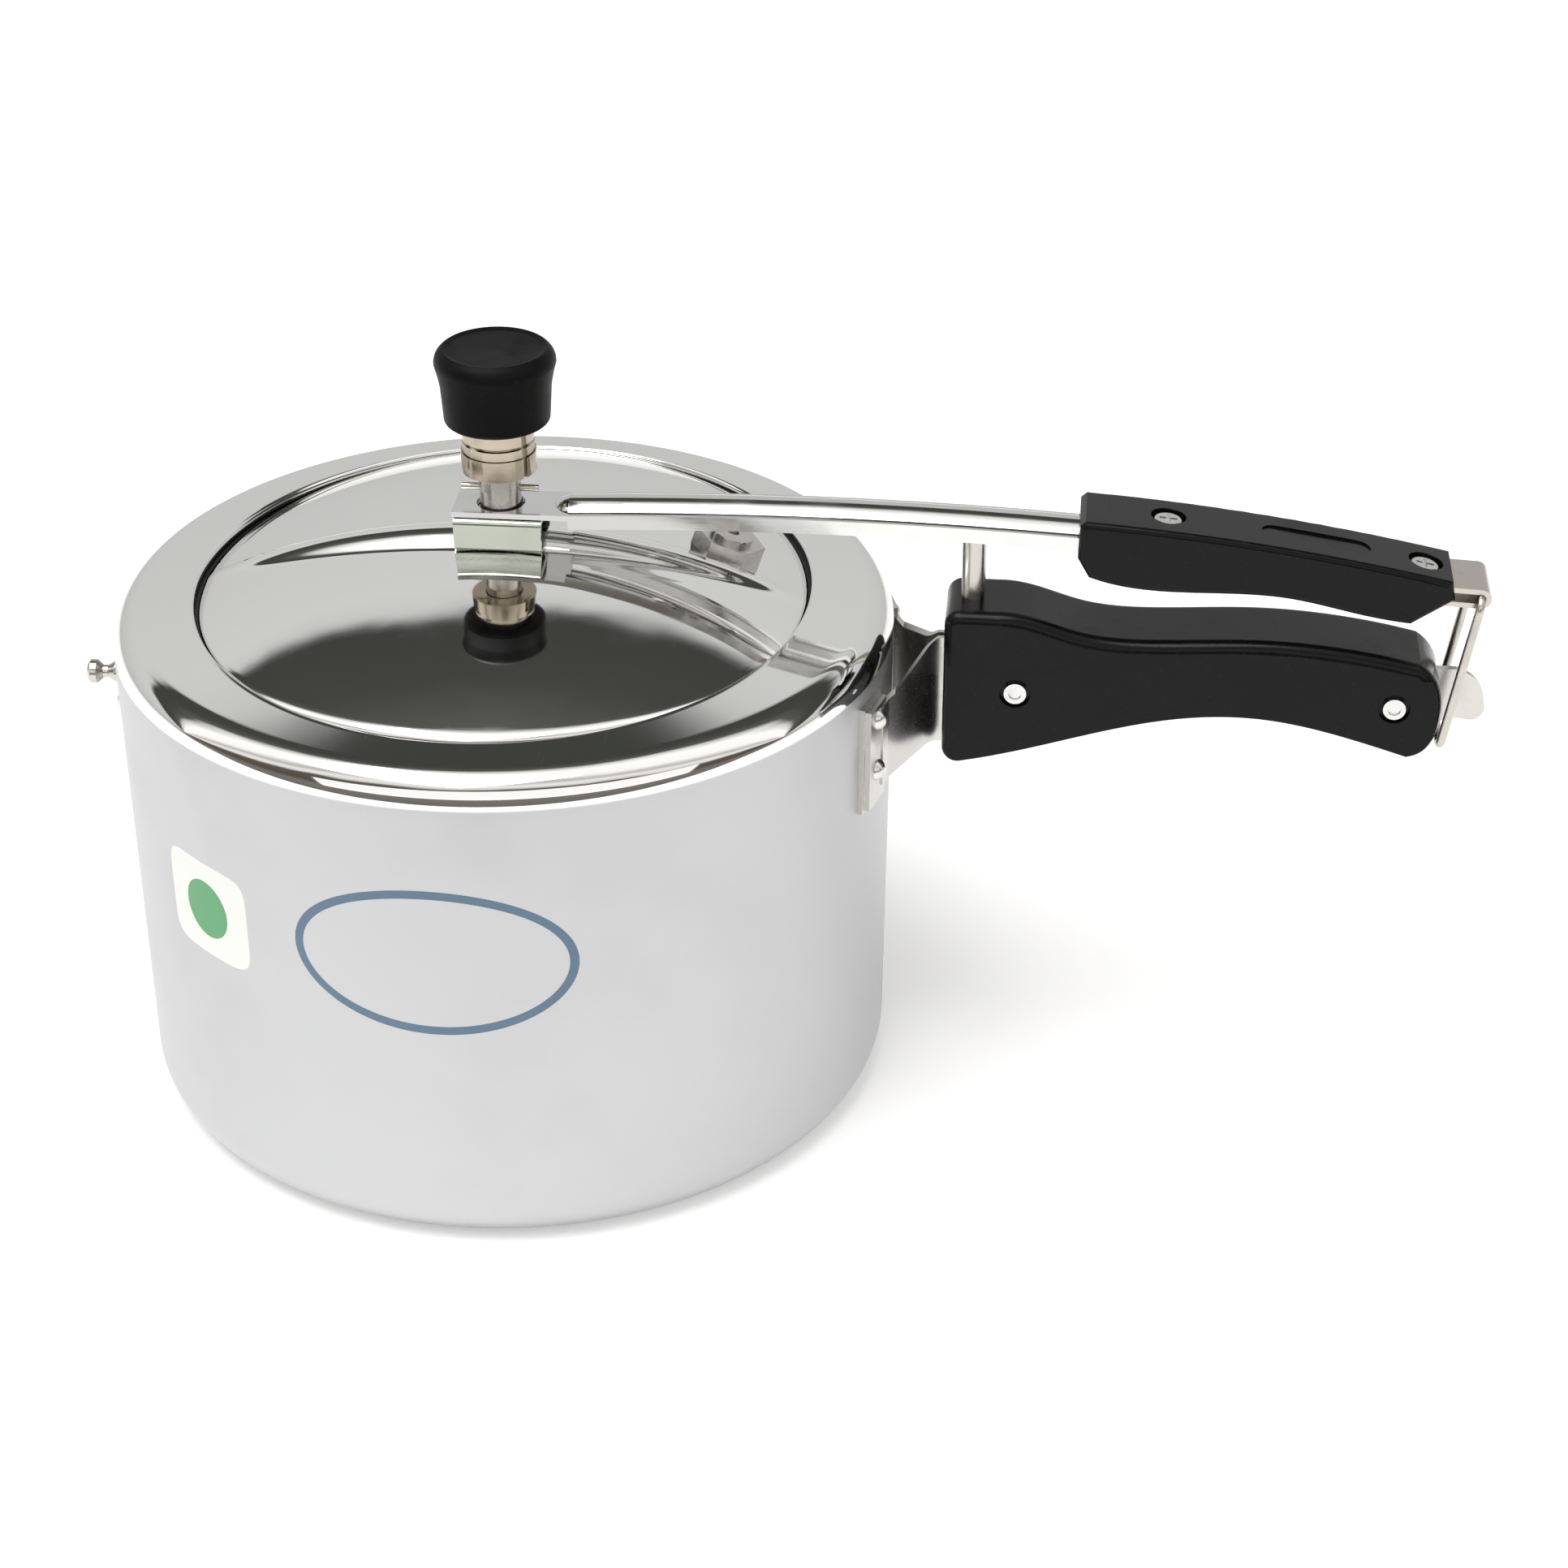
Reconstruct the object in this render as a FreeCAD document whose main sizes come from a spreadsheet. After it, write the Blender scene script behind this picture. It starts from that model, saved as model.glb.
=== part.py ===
import FreeCAD, Part
import Sketcher
import math
import os
import re
from types import SimpleNamespace

# Stovetop pressure cooker with an inner lid, in millimetres.
# The origin is the centre of the pot's base, +X runs to the handles and +Z is up.
# A long lever turns on an upright pin beside the pot and carries the lid at its short end.

Vector = FreeCAD.Vector
Rotation = FreeCAD.Rotation
Placement = FreeCAD.Placement

doc = FreeCAD.newDocument("pressure_cooker")
sheet = doc.addObject("Spreadsheet::Sheet", "sizes")

SIZES = [
    # pot
    ("potRadius", 112.0, "outer radius at the seam, the widest place"),
    ("potBaseRadius", 110.4, "outer radius of the wall at its foot"),
    ("potSeamHeight", 143.5, "height where the straight wall meets the shoulder"),
    ("potCornerRadius", 13.0, "outer radius between base and wall"),
    ("potInnerCorner", 10.0, "inner radius between base and wall"),
    ("potFloor", 4.0, "thickness of the base"),
    ("potWall", 3.0, "thickness of the wall and shoulder"),
    ("shoulderRadius", 9.0, "outer radius of the rolled shoulder"),
    ("rimSlope", 8.0, "slope of the rim, rising inwards, degrees"),
    ("mouthLength", 93.8, "half length of the oval mouth along Y"),
    ("mouthWidth", 88.2, "half width of the oval mouth along X"),
    ("mouthEdgeRound", 0.8, "rounding of the mouth's edges"),
    # lid
    ("lidGap", 1.3, "gap between the lid's neck and the mouth"),
    ("lidWall", 3.0, "thickness of the lid"),
    ("lidCrown", 24.8, "height of the lid's centre above the seam"),
    ("domeHalfX", 114.0, "half axis of the dome's ellipsoid along X"),
    ("domeHalfY", 133.0, "half axis of the dome's ellipsoid along Y"),
    ("domeHalfZ", 60.0, "half axis of the dome's ellipsoid along Z"),
    ("lidRollRadius", 6.5, "outer radius of the roll between dome and neck"),
    ("lidRollSlope", 22.0, "slope where the roll leaves the dome at its Y ends, degrees"),
    ("flangeTop", 1.4, "height of the lid's flange above the seam"),
    ("flangeThickness", 2.5, "thickness of the flange"),
    ("flangeOverlap", 3.0, "how far the flange reaches beyond the mouth"),
    ("gasketReach", 2.4, "how far the gasket reaches beyond the flange"),
    ("gasketLip", 1.2, "rubber under the flange"),
    ("gasketClearance", 0.3, "gap between gasket and rim"),
    ("ridgeHalfX", 104.5, "half axis of the ridge's ellipsoid along X"),
    ("ridgeHalfY", 23.0, "half axis of the ridge's ellipsoid along Y"),
    ("ridgeHalfZ", 60.0, "half axis of the ridge's ellipsoid along Z"),
    ("ridgeRise", 3.7, "height of the ridge above the dome's centre"),
    # saddle and vent
    ("saddleLength", 25.0, "saddle along X"),
    ("saddleWidth", 18.0, "saddle along Y"),
    ("saddleSheet", 1.6, "thickness of the saddle"),
    ("saddleClearance", 4.1, "gap between the ridge and the saddle"),
    ("saddleFootRise", 0.65, "foot above the dome's centre, clear of the ridge's flank"),
    ("tubeRadius", 5.9, "outer radius of the vent tube"),
    ("tubeBore", 2.0, "radius of the steam passage"),
    ("tubeRise", 20.5, "tube above the saddle"),
    ("tubeDrop", 9.0, "tube below the lid's underside"),
    ("tubeFit", 0.05, "gap between the tube and what it passes through"),
    ("washerRadius", 10.0, "vent washer"),
    ("washerThickness", 1.5, "vent washer"),
    ("ventNutFlats", 17.0, "vent nut across flats"),
    ("ventNutHeight", 5.0, "vent nut"),
    ("crossPinRadius", 1.0, "pin through the vent tube"),
    ("crossPinLength", 22.0, "pin through the vent tube"),
    ("crossPinRise", 6.6, "pin's axis above the saddle"),
    # safety valve
    ("valveX", 62.0, "valve's place on the lid along X"),
    ("valveY", 14.0, "valve's place on the lid along Y"),
    ("valveFlats", 18.0, "hexagon across flats"),
    ("valveHexHeight", 6.2, "hexagon"),
    ("valveCollarRadius", 6.3, "raised collar on the hexagon"),
    ("valveCollarHeight", 1.6, "raised collar on the hexagon"),
    ("valveStemRadius", 5.0, "stem through the lid"),
    ("valveStemLength", 11.0, "stem below the hexagon"),
    ("valveBore", 1.9, "radius of the passage"),
    ("valvePlugDrop", 2.0, "depth of the fusible plug below the collar"),
    ("valveNutFlats", 16.0, "nut across flats"),
    ("valveNutHeight", 4.5, "nut"),
    ("valveWasherRadius", 8.5, "washer"),
    ("valveWasherGap", 0.8, "gap between the lid and the washer"),
    # regulator
    ("weightRadius", 10.3, "outer radius of the weight"),
    ("weightFoot", 12.4, "foot of the weight above the saddle"),
    ("weightHeight", 25.0, "height of the weight"),
    ("weightFit", 0.3, "gap between the vent tube and its socket in the weight"),
    ("ringHeight", 6.4, "height of the split spring ring"),
    ("ringThickness", 0.7, "wall of the split spring ring"),
    ("capFoot", 27.2, "foot of the cap above the saddle"),
    ("capFootRadius", 15.0, "cap at its foot"),
    ("capWaistRadius", 15.6, "cap at half height"),
    ("capShoulderRadius", 17.1, "cap at its widest"),
    ("capTopRadius", 14.6, "edge of the cap's dished top"),
    ("capShoulderRise", 17.6, "height of the widest place above the foot"),
    ("capHeight", 22.0, "height of the cap"),
    ("capDish", 0.9, "depth of the dish in the top"),
    ("capFit", 0.05, "gap between the cap and the weight"),
    ("needleRadius", 1.5, "valve needle"),
    ("needleGap", 0.3, "gap between the needle and the weight"),
    # lever
    ("fulcrumX", 22.6, "fulcrum's distance from the pot's seam"),
    ("fulcrumPinRadius", 3.4, "upright pin"),
    ("eyeRadius", 2.6, "eye at the top of the pin"),
    ("eyeWidth", 3.2, "eye along Y"),
    ("rivetRadius", 1.2, "rivet through the lever and the eye"),
    ("barWidth", 16.0, "lever bar across its flanges"),
    ("barSheet", 1.6, "thickness of the lever bar"),
    ("barClearance", 0.3, "gap between the saddle and the bar"),
    ("barFlange", 2.6, "flange below the web"),
    ("barBeadWidth", 11.0, "raised bead across"),
    ("barBeadHeight", 4.2, "raised bead above the web's underside"),
    ("barApexInset", 27.0, "highest place of the bar, inside the seam"),
    ("barArchRadius", 1300.0, "radius of the long arch"),
    ("barBendRadius", 680.0, "radius of the bend inside the handle"),
    ("barPlateBack", 13.0, "end plate behind the vent tube"),
    ("barPlateFront", 21.0, "end plate in front of the vent tube"),
    ("barHoleFit", 1.0, "gap round the vent tube in the bar's end plate"),
    # lid handle
    ("lidHandleStart", 51.5, "front end's distance from the seam"),
    ("lidHandleLength", 105.0, "length along X"),
    ("lidHandleWidth", 22.0, "width along Y"),
    ("lidHandleRise", 7.7, "top above the bar's underside"),
    ("lidHandleRound", 1.6, "rounding of its edges"),
    ("lidScrewOneX", 24.2, "first screw behind the handle's front end"),
    ("lidScrewTwoInset", 9.5, "second screw before the handle's back end"),
    ("lidScrewHead", 4.2, "radius of the screw heads"),
    ("lidScrewRecess", 5.0, "radius of the screw recesses"),
    ("lidScrewShank", 2.0, "radius of the shanks"),
    ("lidScrewDepth", 2.4, "depth of the screw recesses"),
    ("lidNutSize", 7.0, "square nuts across"),
    ("padLength", 31.0, "shallow recess on the top"),
    ("padWidth", 7.5, "shallow recess on the top"),
    ("padDepth", 0.7, "shallow recess on the top"),
    # latch
    ("knuckleBeyond", 7.3, "knuckle's distance behind the handle's end"),
    ("knuckleRise", 2.7, "knuckle above the bar's line at the handle's end"),
    ("knuckleSheet", 1.5, "thickness of the hinge strip"),
    ("knuckleSlope", 3.0, "slope of the hinge strip, degrees"),
    ("knuckleWidth", 18.4, "hinge strip along Y"),
    ("knuckleFit", 0.08, "gap between the wire and its strip"),
    ("wireRadius", 1.3, "loop wire"),
    ("loopWidth", 22.6, "loop between the wire's centres"),
    ("loopLength", 46.5, "loop between the wire's centres"),
    ("loopLean", 9.3, "lean of the loop from the vertical, degrees"),
    ("loopCorner", 2.6, "radius of the loop's corners"),
    # body handle
    ("handleStart", 15.0, "front end's distance from the seam"),
    ("handleEndInset", 0.5, "how far it ends short of the lid handle"),
    ("handleHalfWidth", 13.0, "each half along Y"),
    ("handleAxis", -12.5, "height of the handle's screws above the seam"),
    ("handleCorner", 4.5, "rounding of the front corners in side view"),
    ("handleRound", 3.2, "rounding of the handle's edges"),
    ("handlePanel", 1.0, "depth of the side panels"),
    ("handleClearance", 0.15, "play round what the halves clamp"),
    ("screwOneX", 20.6, "first screw behind the handle's front end"),
    ("screwTwoInset", 13.4, "second screw before the handle's back end"),
    ("screwRecess", 4.5, "radius of the screw recesses"),
    ("screwRecessDepth", 2.6, "depth of the screw recesses"),
    ("screwHead", 3.2, "radius of heads and sleeves"),
    ("screwShank", 1.9, "radius of the threaded shank"),
    ("sleeveRadius", 2.6, "radius of the sleeve nut's barrel"),
    # bracket and catch
    ("sheetThickness", 1.6, "bracket steel"),
    ("backingThickness", 1.5, "plates between bracket and pot"),
    ("bracketLow", -38.0, "lower edge of the flanges above the seam"),
    ("bracketHigh", -6.5, "upper edge of the flanges above the seam"),
    ("flangeAzimuth", 16.5, "centre of each flange round the pot, degrees"),
    ("flangeWidth", 12.0, "width of each flange"),
    ("wingBend", 5.0, "inner radius of the bracket's bends"),
    ("tangLength", 33.0, "bracket's tongue inside the handle"),
    ("rivetHead", 3.2, "radius of the rivet heads"),
    ("rivetShank", 2.0, "radius of the rivet shanks"),
    ("rivetUpper", -11.0, "upper rivets above the seam"),
    ("rivetSpacing", 16.5, "distance between upper and lower rivets"),
    ("catchThickness", 2.0, "catch strip"),
    ("catchReach", 12.5, "tab beyond the loop's lower bar"),
    # helper stud
    ("helperAzimuth", 184.0, "place round the pot, degrees"),
    ("helperLow", -37.0, "lower edge of the plate above the seam"),
    ("helperHigh", -11.0, "upper edge of the plate above the seam"),
    ("helperWidth", 12.0, "width of the plate"),
    ("helperStudRise", -19.5, "stud above the seam"),
    ("helperRivetRise", -29.0, "rivet above the seam"),
    ("studLength", 11.0, "stud's reach beyond the pot"),
    ("studHeadRadius", 3.5, "knob of the stud"),
    ("studNeckRadius", 1.9, "neck of the stud"),
]

for row, (alias, value, note) in enumerate(SIZES, start=1):
    sheet.set("A%d" % row, alias)
    sheet.set("B%d" % row, str(value))
    sheet.set("C%d" % row, note)
    sheet.setAlias("B%d" % row, alias)
doc.recompute()

size = SimpleNamespace(**{alias: float(sheet.get(alias)) for alias, value, note in SIZES})


# ---------------------------------------------------------------- helpers

def formula(text):
    """Names of sizes in a formula become references to the sheet."""
    return re.sub(r"\b[a-z]+[A-Z]\w*\b", r"sizes.\g<0>", text)


def bind(item, **formulas):
    """Binds properties to formulas; an underscore stands for the dot in a property's path."""
    for path, text in formulas.items():
        item.setExpression(path.replace("_", "."), formula(text))
    return item


def place(item, x="0", y="0", z="0", rotation=None):
    if rotation is not None:
        item.Placement = Placement(Vector(0, 0, 0), rotation)
    return bind(item, Placement_Base_x=x, Placement_Base_y=y, Placement_Base_z=z)


def cylinder(name, radius, height, x="0", y="0", z="0", rotation=None):
    item = doc.addObject("Part::Cylinder", name)
    bind(item, Radius=radius, Height=height)
    return place(item, x, y, z, rotation)


def hexagon(name, flats, height, z="0"):
    item = doc.addObject("Part::Prism", name)
    item.Polygon = 6
    bind(item, Circumradius="%s / sqrt(3)" % flats, Height=height)
    return place(item, z=z)


def fuse(name, shapes):
    item = doc.addObject("Part::MultiFuse", name)
    item.Shapes = shapes
    return item


def cut(name, base, tool):
    item = doc.addObject("Part::Cut", name)
    item.Base = base
    item.Tool = tool
    return item


def compound(name, links):
    item = doc.addObject("Part::Compound", name)
    item.Links = links
    return item


def feature(name, shape):
    item = doc.addObject("Part::Feature", name)
    item.Shape = shape
    return item


def outline(body, plane, name, corners, arcs=None):
    """A closed sketch whose corners and arc radii are bound to formulas.

    corners holds pairs of formulas. arcs maps the number of a side, counted from the corner
    where it starts, to a pair: the formula of its radius and True if it turns anticlockwise.
    """
    arcs = arcs or {}
    origin_plane = [item for item in body.Origin.OriginFeatures if item.Role == plane][0]
    sketch = body.newObject("Sketcher::SketchObject", name)
    sketch.AttachmentSupport = [(origin_plane, "")]
    sketch.MapMode = "FlatFace"
    points = []
    for across, up in corners:
        x = float(sheet.evalExpression(formula(across)))
        y = float(sheet.evalExpression(formula(up)))
        points.append(Vector(x, y, 0))
    count = len(points)
    for side in range(count):
        start = points[side]
        end = points[(side + 1) % count]
        if side in arcs:
            radius = float(sheet.evalExpression(formula(arcs[side][0])))
            sketch.addGeometry(arc_between(start, end, radius, arcs[side][1]), False)
        else:
            sketch.addGeometry(Part.LineSegment(start, end), False)
    # an arc drawn anticlockwise keeps its start point, and one drawn clockwise swaps its ends
    def starts(side):
        return 2 if side in arcs and not arcs[side][1] else 1
    for side in range(count):
        after = (side + 1) % count
        sketch.addConstraint(Sketcher.Constraint("Coincident", side, 3 - starts(side), after, starts(after)))
    for side, (across, up) in enumerate(corners):
        index = sketch.addConstraint(
            Sketcher.Constraint("DistanceX", -1, 1, side, starts(side), points[side].x))
        sketch.setExpression("Constraints[%d]" % index, formula(across))
        index = sketch.addConstraint(
            Sketcher.Constraint("DistanceY", -1, 1, side, starts(side), points[side].y))
        sketch.setExpression("Constraints[%d]" % index, formula(up))
    for side, (radius, anticlockwise) in arcs.items():
        value = float(sheet.evalExpression(formula(radius)))
        index = sketch.addConstraint(Sketcher.Constraint("Radius", side, value))
        sketch.setExpression("Constraints[%d]" % index, formula(radius))
    return sketch


def arc_between(start, end, radius, anticlockwise):
    """The shorter arc of a circle from start to end in the XY plane."""
    chord = end - start
    middle = (start + end) * 0.5
    height = math.sqrt(max(radius ** 2 - (chord.Length / 2) ** 2, 0.0))
    left = Vector(-chord.y, chord.x, 0).normalize()
    centre = middle + left * (height if anticlockwise else -height)
    first, last = (start, end) if anticlockwise else (end, start)
    circle = Part.Circle(centre, Vector(0, 0, 1), radius)
    first_angle = math.atan2(first.y - centre.y, first.x - centre.x)
    last_angle = math.atan2(last.y - centre.y, last.x - centre.x)
    return Part.ArcOfCircle(circle, first_angle, last_angle)


def revolved(label, corners, arcs=None):
    """A body turned about Z from a profile of (radius, height) formulas."""
    body = doc.addObject("PartDesign::Body", label)
    sketch = outline(body, "XZ_Plane", label + "_profile", corners, arcs)
    turn = body.newObject("PartDesign::Revolution", label + "_turn")
    turn.Profile = sketch
    turn.ReferenceAxis = (sketch, ["V_Axis"])
    turn.Angle = 360
    return body


def padded(label, plane, length, corners, arcs=None):
    """A body padded to both sides of one of its origin planes."""
    body = doc.addObject("PartDesign::Body", label)
    sketch = outline(body, plane, label + "_profile", corners, arcs)
    pad = body.newObject("PartDesign::Pad", label + "_pad")
    pad.Profile = sketch
    pad.Midplane = True
    bind(pad, Length=length)
    return body


def rounded_path(points, radius, closed=False):
    """Straight runs joined by tangent arcs of one radius."""
    count = len(points)
    turns = range(count) if closed else range(1, count - 1)
    entries = {}
    for index in turns:
        here = points[index]
        before = (points[index - 1] - here).normalize()
        after = (points[(index + 1) % count] - here).normalize()
        half = before.getAngle(after) / 2
        reach = radius / math.tan(half)
        centre = here + (before + after).normalize() * (radius / math.sin(half))
        middle = centre + (here - centre).normalize() * radius
        entries[index] = (here + before * reach, middle, here + after * reach)
    edges = []
    position = entries[count - 1][2] if closed else points[0]
    for index in range(0 if closed else 1, count):
        if index in entries:
            start, middle, end = entries[index]
            edges.append(Part.LineSegment(position, start).toShape())
            edges.append(Part.Arc(start, middle, end).toShape())
            position = end
        else:
            edges.append(Part.LineSegment(position, points[index]).toShape())
    return Part.Wire(edges)


def swept(path, section):
    """A solid swept along a wire from a closed section at its start."""
    return path.makePipeShell([section], True, False).removeSplitter()


def filleted(shape, radius, wanted):
    """Rounds the edges that the test picks."""
    return shape.makeFillet(radius, [edge for edge in shape.Edges if wanted(edge)])


def smooth_side(points):
    """One smooth curve through a few points."""
    curve = Part.BSplineCurve()
    curve.interpolate(points)
    return curve.toShape()


# ---------------------------------------------------------------- pot

RIM_FOOT_RADIUS = "potRadius - shoulderRadius + shoulderRadius * sin(rimSlope)"
RIM_FOOT_HEIGHT = "potSeamHeight + shoulderRadius * cos(rimSlope)"
UNDER_FOOT_RADIUS = "potRadius - shoulderRadius + (shoulderRadius - potWall) * sin(rimSlope)"
UNDER_FOOT_HEIGHT = "potSeamHeight + (shoulderRadius - potWall) * cos(rimSlope)"
RIM_END = "(mouthWidth - 8)"

pot_turned = revolved(
    "pot_turned",
    [
        ("0", "0"),
        ("potBaseRadius - potCornerRadius", "0"),
        ("potBaseRadius", "potCornerRadius"),
        ("potRadius", "potSeamHeight"),
        (RIM_FOOT_RADIUS, RIM_FOOT_HEIGHT),
        (RIM_END, "%s + tan(rimSlope) * (%s - %s)" % (RIM_FOOT_HEIGHT, RIM_FOOT_RADIUS, RIM_END)),
        (RIM_END, "%s + tan(rimSlope) * (%s - %s)" % (UNDER_FOOT_HEIGHT, UNDER_FOOT_RADIUS, RIM_END)),
        (UNDER_FOOT_RADIUS, UNDER_FOOT_HEIGHT),
        ("potRadius - potWall", "potSeamHeight"),
        ("potBaseRadius - potWall", "potFloor + potInnerCorner"),
        ("potBaseRadius - potWall - potInnerCorner", "potFloor"),
        ("0", "potFloor"),
    ],
    {
        1: ("potCornerRadius", True),
        3: ("shoulderRadius", True),
        7: ("shoulderRadius - potWall", False),
        9: ("potInnerCorner", False),
    },
)
mouth_curve = doc.addObject("Part::Ellipse", "mouth_curve")
mouth_curve.Placement = Placement(Vector(0, 0, 0), Rotation(Vector(0, 0, 1), 90))
bind(mouth_curve, MajorRadius="mouthLength", MinorRadius="mouthWidth", Placement_Base_z="potSeamHeight")
mouth_tool = doc.addObject("Part::Extrusion", "mouth_tool")
mouth_tool.Base = mouth_curve
mouth_tool.Dir = Vector(0, 0, 1)
mouth_tool.DirMode = "Custom"
mouth_tool.Solid = True
bind(mouth_tool, LengthFwd="shoulderRadius * 3")
pot_cut = cut("pot_cut", pot_turned, mouth_tool)
doc.recompute()


def on_mouth(edge):
    """True for the two edges of the oval mouth."""
    box = edge.BoundBox
    return abs(box.YMax - size.mouthLength) < 0.01 and abs(box.XMax - size.mouthWidth) < 0.01


pot_plain = doc.addObject("Part::Fillet", "pot_plain")
pot_plain.Base = pot_cut
pot_plain.Edges = [
    (number, size.mouthEdgeRound, size.mouthEdgeRound)
    for number, edge in enumerate(pot_cut.Shape.Edges, start=1)
    if on_mouth(edge)
]

# ---------------------------------------------------------------- lid

seam = size.potSeamHeight
crown = seam + size.lidCrown
neck = size.mouthLength - size.lidGap
flange_radius = size.mouthLength + size.flangeOverlap
mouth_ratio = size.mouthWidth / size.mouthLength


def ovalled(shape):
    """Narrows a turned shape along X to the mouth's proportions."""
    matrix = FreeCAD.Matrix()
    matrix.scale(mouth_ratio, 1, 1)
    return shape.transformGeometry(matrix)


def turned(edges):
    """A solid turned about Z from the edges of a closed profile in the XZ plane."""
    face = Part.Face(Part.Wire(edges))
    return face.revolve(Vector(0, 0, 0), Vector(0, 0, 1), 360)


def line_xz(*points):
    corners = [Vector(x, 0, z) for x, z in points]
    return [Part.LineSegment(a, b).toShape() for a, b in zip(corners, corners[1:])]


flange_top = seam + size.flangeTop
flange_bottom = flange_top - size.flangeThickness
dome_centre = crown - size.domeHalfZ
ridge_centre = crown + size.ridgeRise - size.ridgeHalfZ


def dome_height(x, y):
    """Height of the dome's outer surface, without its ridge."""
    share = 1 - (x / size.domeHalfX) ** 2 - (y / size.domeHalfY) ** 2
    return dome_centre + size.domeHalfZ * math.sqrt(share)


def ellipsoid(half_x, half_y, half_z, centre_height):
    """An ellipsoid on the Z axis."""
    matrix = FreeCAD.Matrix()
    matrix.scale(half_x, half_y, half_z)
    ball = Part.makeSphere(1).transformGeometry(matrix)
    ball.translate(Vector(0, 0, centre_height))
    return ball


def oval_column(radius, low, high):
    """An upright column with the mouth's proportions."""
    return ovalled(Part.makeCylinder(radius, high - low, Vector(0, 0, low)))


def dome_ball(shrink):
    return ellipsoid(
        size.domeHalfX - shrink, size.domeHalfY - shrink, size.domeHalfZ - shrink, dome_centre)


def ridge_ball(shrink):
    return ellipsoid(
        size.ridgeHalfX - shrink, size.ridgeHalfY - shrink, size.ridgeHalfZ - shrink, ridge_centre)


roll_angle = math.radians(size.lidRollSlope)
roll_x = neck - size.lidRollRadius * (1 - math.sin(roll_angle))
roll_top = dome_height(0, roll_x) + 0.2
roll_foot = roll_top - size.lidRollRadius * math.cos(roll_angle)
roll_middle = Vector(
    neck - size.lidRollRadius * (1 - math.cos(math.radians(40))), 0,
    roll_foot + size.lidRollRadius * math.sin(math.radians(40)),
)
lid_outside = ovalled(turned(
    [Part.Arc(Vector(roll_x, 0, roll_top), roll_middle, Vector(neck, 0, roll_foot)).toShape()]
    + line_xz(
        (neck, roll_foot),
        (neck, flange_bottom),
        (0, flange_bottom),
        (0, roll_top + roll_x * math.tan(roll_angle)),
        (roll_x, roll_top),
    )
)).common(dome_ball(0))
lid_flange = oval_column(flange_radius, flange_bottom, flange_top)
lid_inside = oval_column(neck - size.lidWall, flange_bottom - 1, crown).common(dome_ball(size.lidWall))
lid_ridge = ridge_ball(0).common(oval_column(neck - size.lidWall, flange_top, crown * 2))
lid_ridge = lid_ridge.cut(dome_ball(size.lidWall))
lid_shape = lid_outside.fuse([lid_flange, lid_ridge]).cut(lid_inside).cut(ridge_ball(size.lidWall))

valve_height = dome_height(size.valveX, size.valveY)
valve_normal = Vector(
    size.valveX / size.domeHalfX ** 2,
    size.valveY / size.domeHalfY ** 2,
    (valve_height - dome_centre) / size.domeHalfZ ** 2,
).normalize()
valve_rotation = Rotation(Vector(0, 0, 1), valve_normal)
valve_seat = Vector(size.valveX, size.valveY, valve_height) + valve_normal * 0.25
valve_placement = Placement(valve_seat, valve_rotation)

tube_hole = Part.makeCylinder(size.tubeRadius, 60, Vector(0, 0, crown - 40))
valve_hole = Part.makeCylinder(size.valveStemRadius, 40, Vector(0, 0, -20))
valve_hole.Placement = valve_placement
lid_shape = lid_shape.cut(tube_hole.fuse(valve_hole))
feature("lid_dome", max(lid_shape.Solids, key=lambda solid: solid.Volume))

# the gasket wraps the flange; its top follows the sloping underside of the rim
gasket_radius = flange_radius + size.gasketReach
slope = math.tan(math.radians(size.rimSlope))
under_foot_radius = size.potRadius - size.shoulderRadius
under_foot_height = seam + (size.shoulderRadius - size.potWall) * math.cos(math.radians(size.rimSlope))
gasket_outer_top = under_foot_height - size.gasketClearance - 0.2
gasket_tall = ovalled(turned(line_xz(
    (neck, flange_bottom - size.gasketLip),
    (gasket_radius, flange_bottom - size.gasketLip),
    (gasket_radius, gasket_outer_top + 6),
    (neck, gasket_outer_top + 6),
    (neck, flange_bottom - size.gasketLip),
)))
gasket_cap = turned(line_xz(
    (0, flange_bottom - 5),
    (size.potRadius - size.potWall - 1, flange_bottom - 5),
    (size.potRadius - size.potWall - 1, gasket_outer_top),
    (under_foot_radius, gasket_outer_top),
    (0, gasket_outer_top + slope * under_foot_radius),
    (0, flange_bottom - 5),
))
flange_groove = ovalled(turned(line_xz(
    (neck - 1, flange_bottom),
    (flange_radius, flange_bottom),
    (flange_radius, flange_top),
    (neck - 1, flange_top),
    (neck - 1, flange_bottom),
)))
feature("gasket", gasket_tall.common(gasket_cap).cut(flange_groove))

# ---------------------------------------------------------------- saddle and vent

RIDGE_TOP = "potSeamHeight + lidCrown + ridgeRise"
SADDLE_TOP = "(%s + saddleClearance + saddleSheet)" % RIDGE_TOP
SADDLE_FOOT = "(potSeamHeight + lidCrown + saddleFootRise)"
LID_UNDER = "(potSeamHeight + lidCrown - lidWall)"
saddle_top = crown + size.ridgeRise + size.saddleClearance + size.saddleSheet

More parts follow.
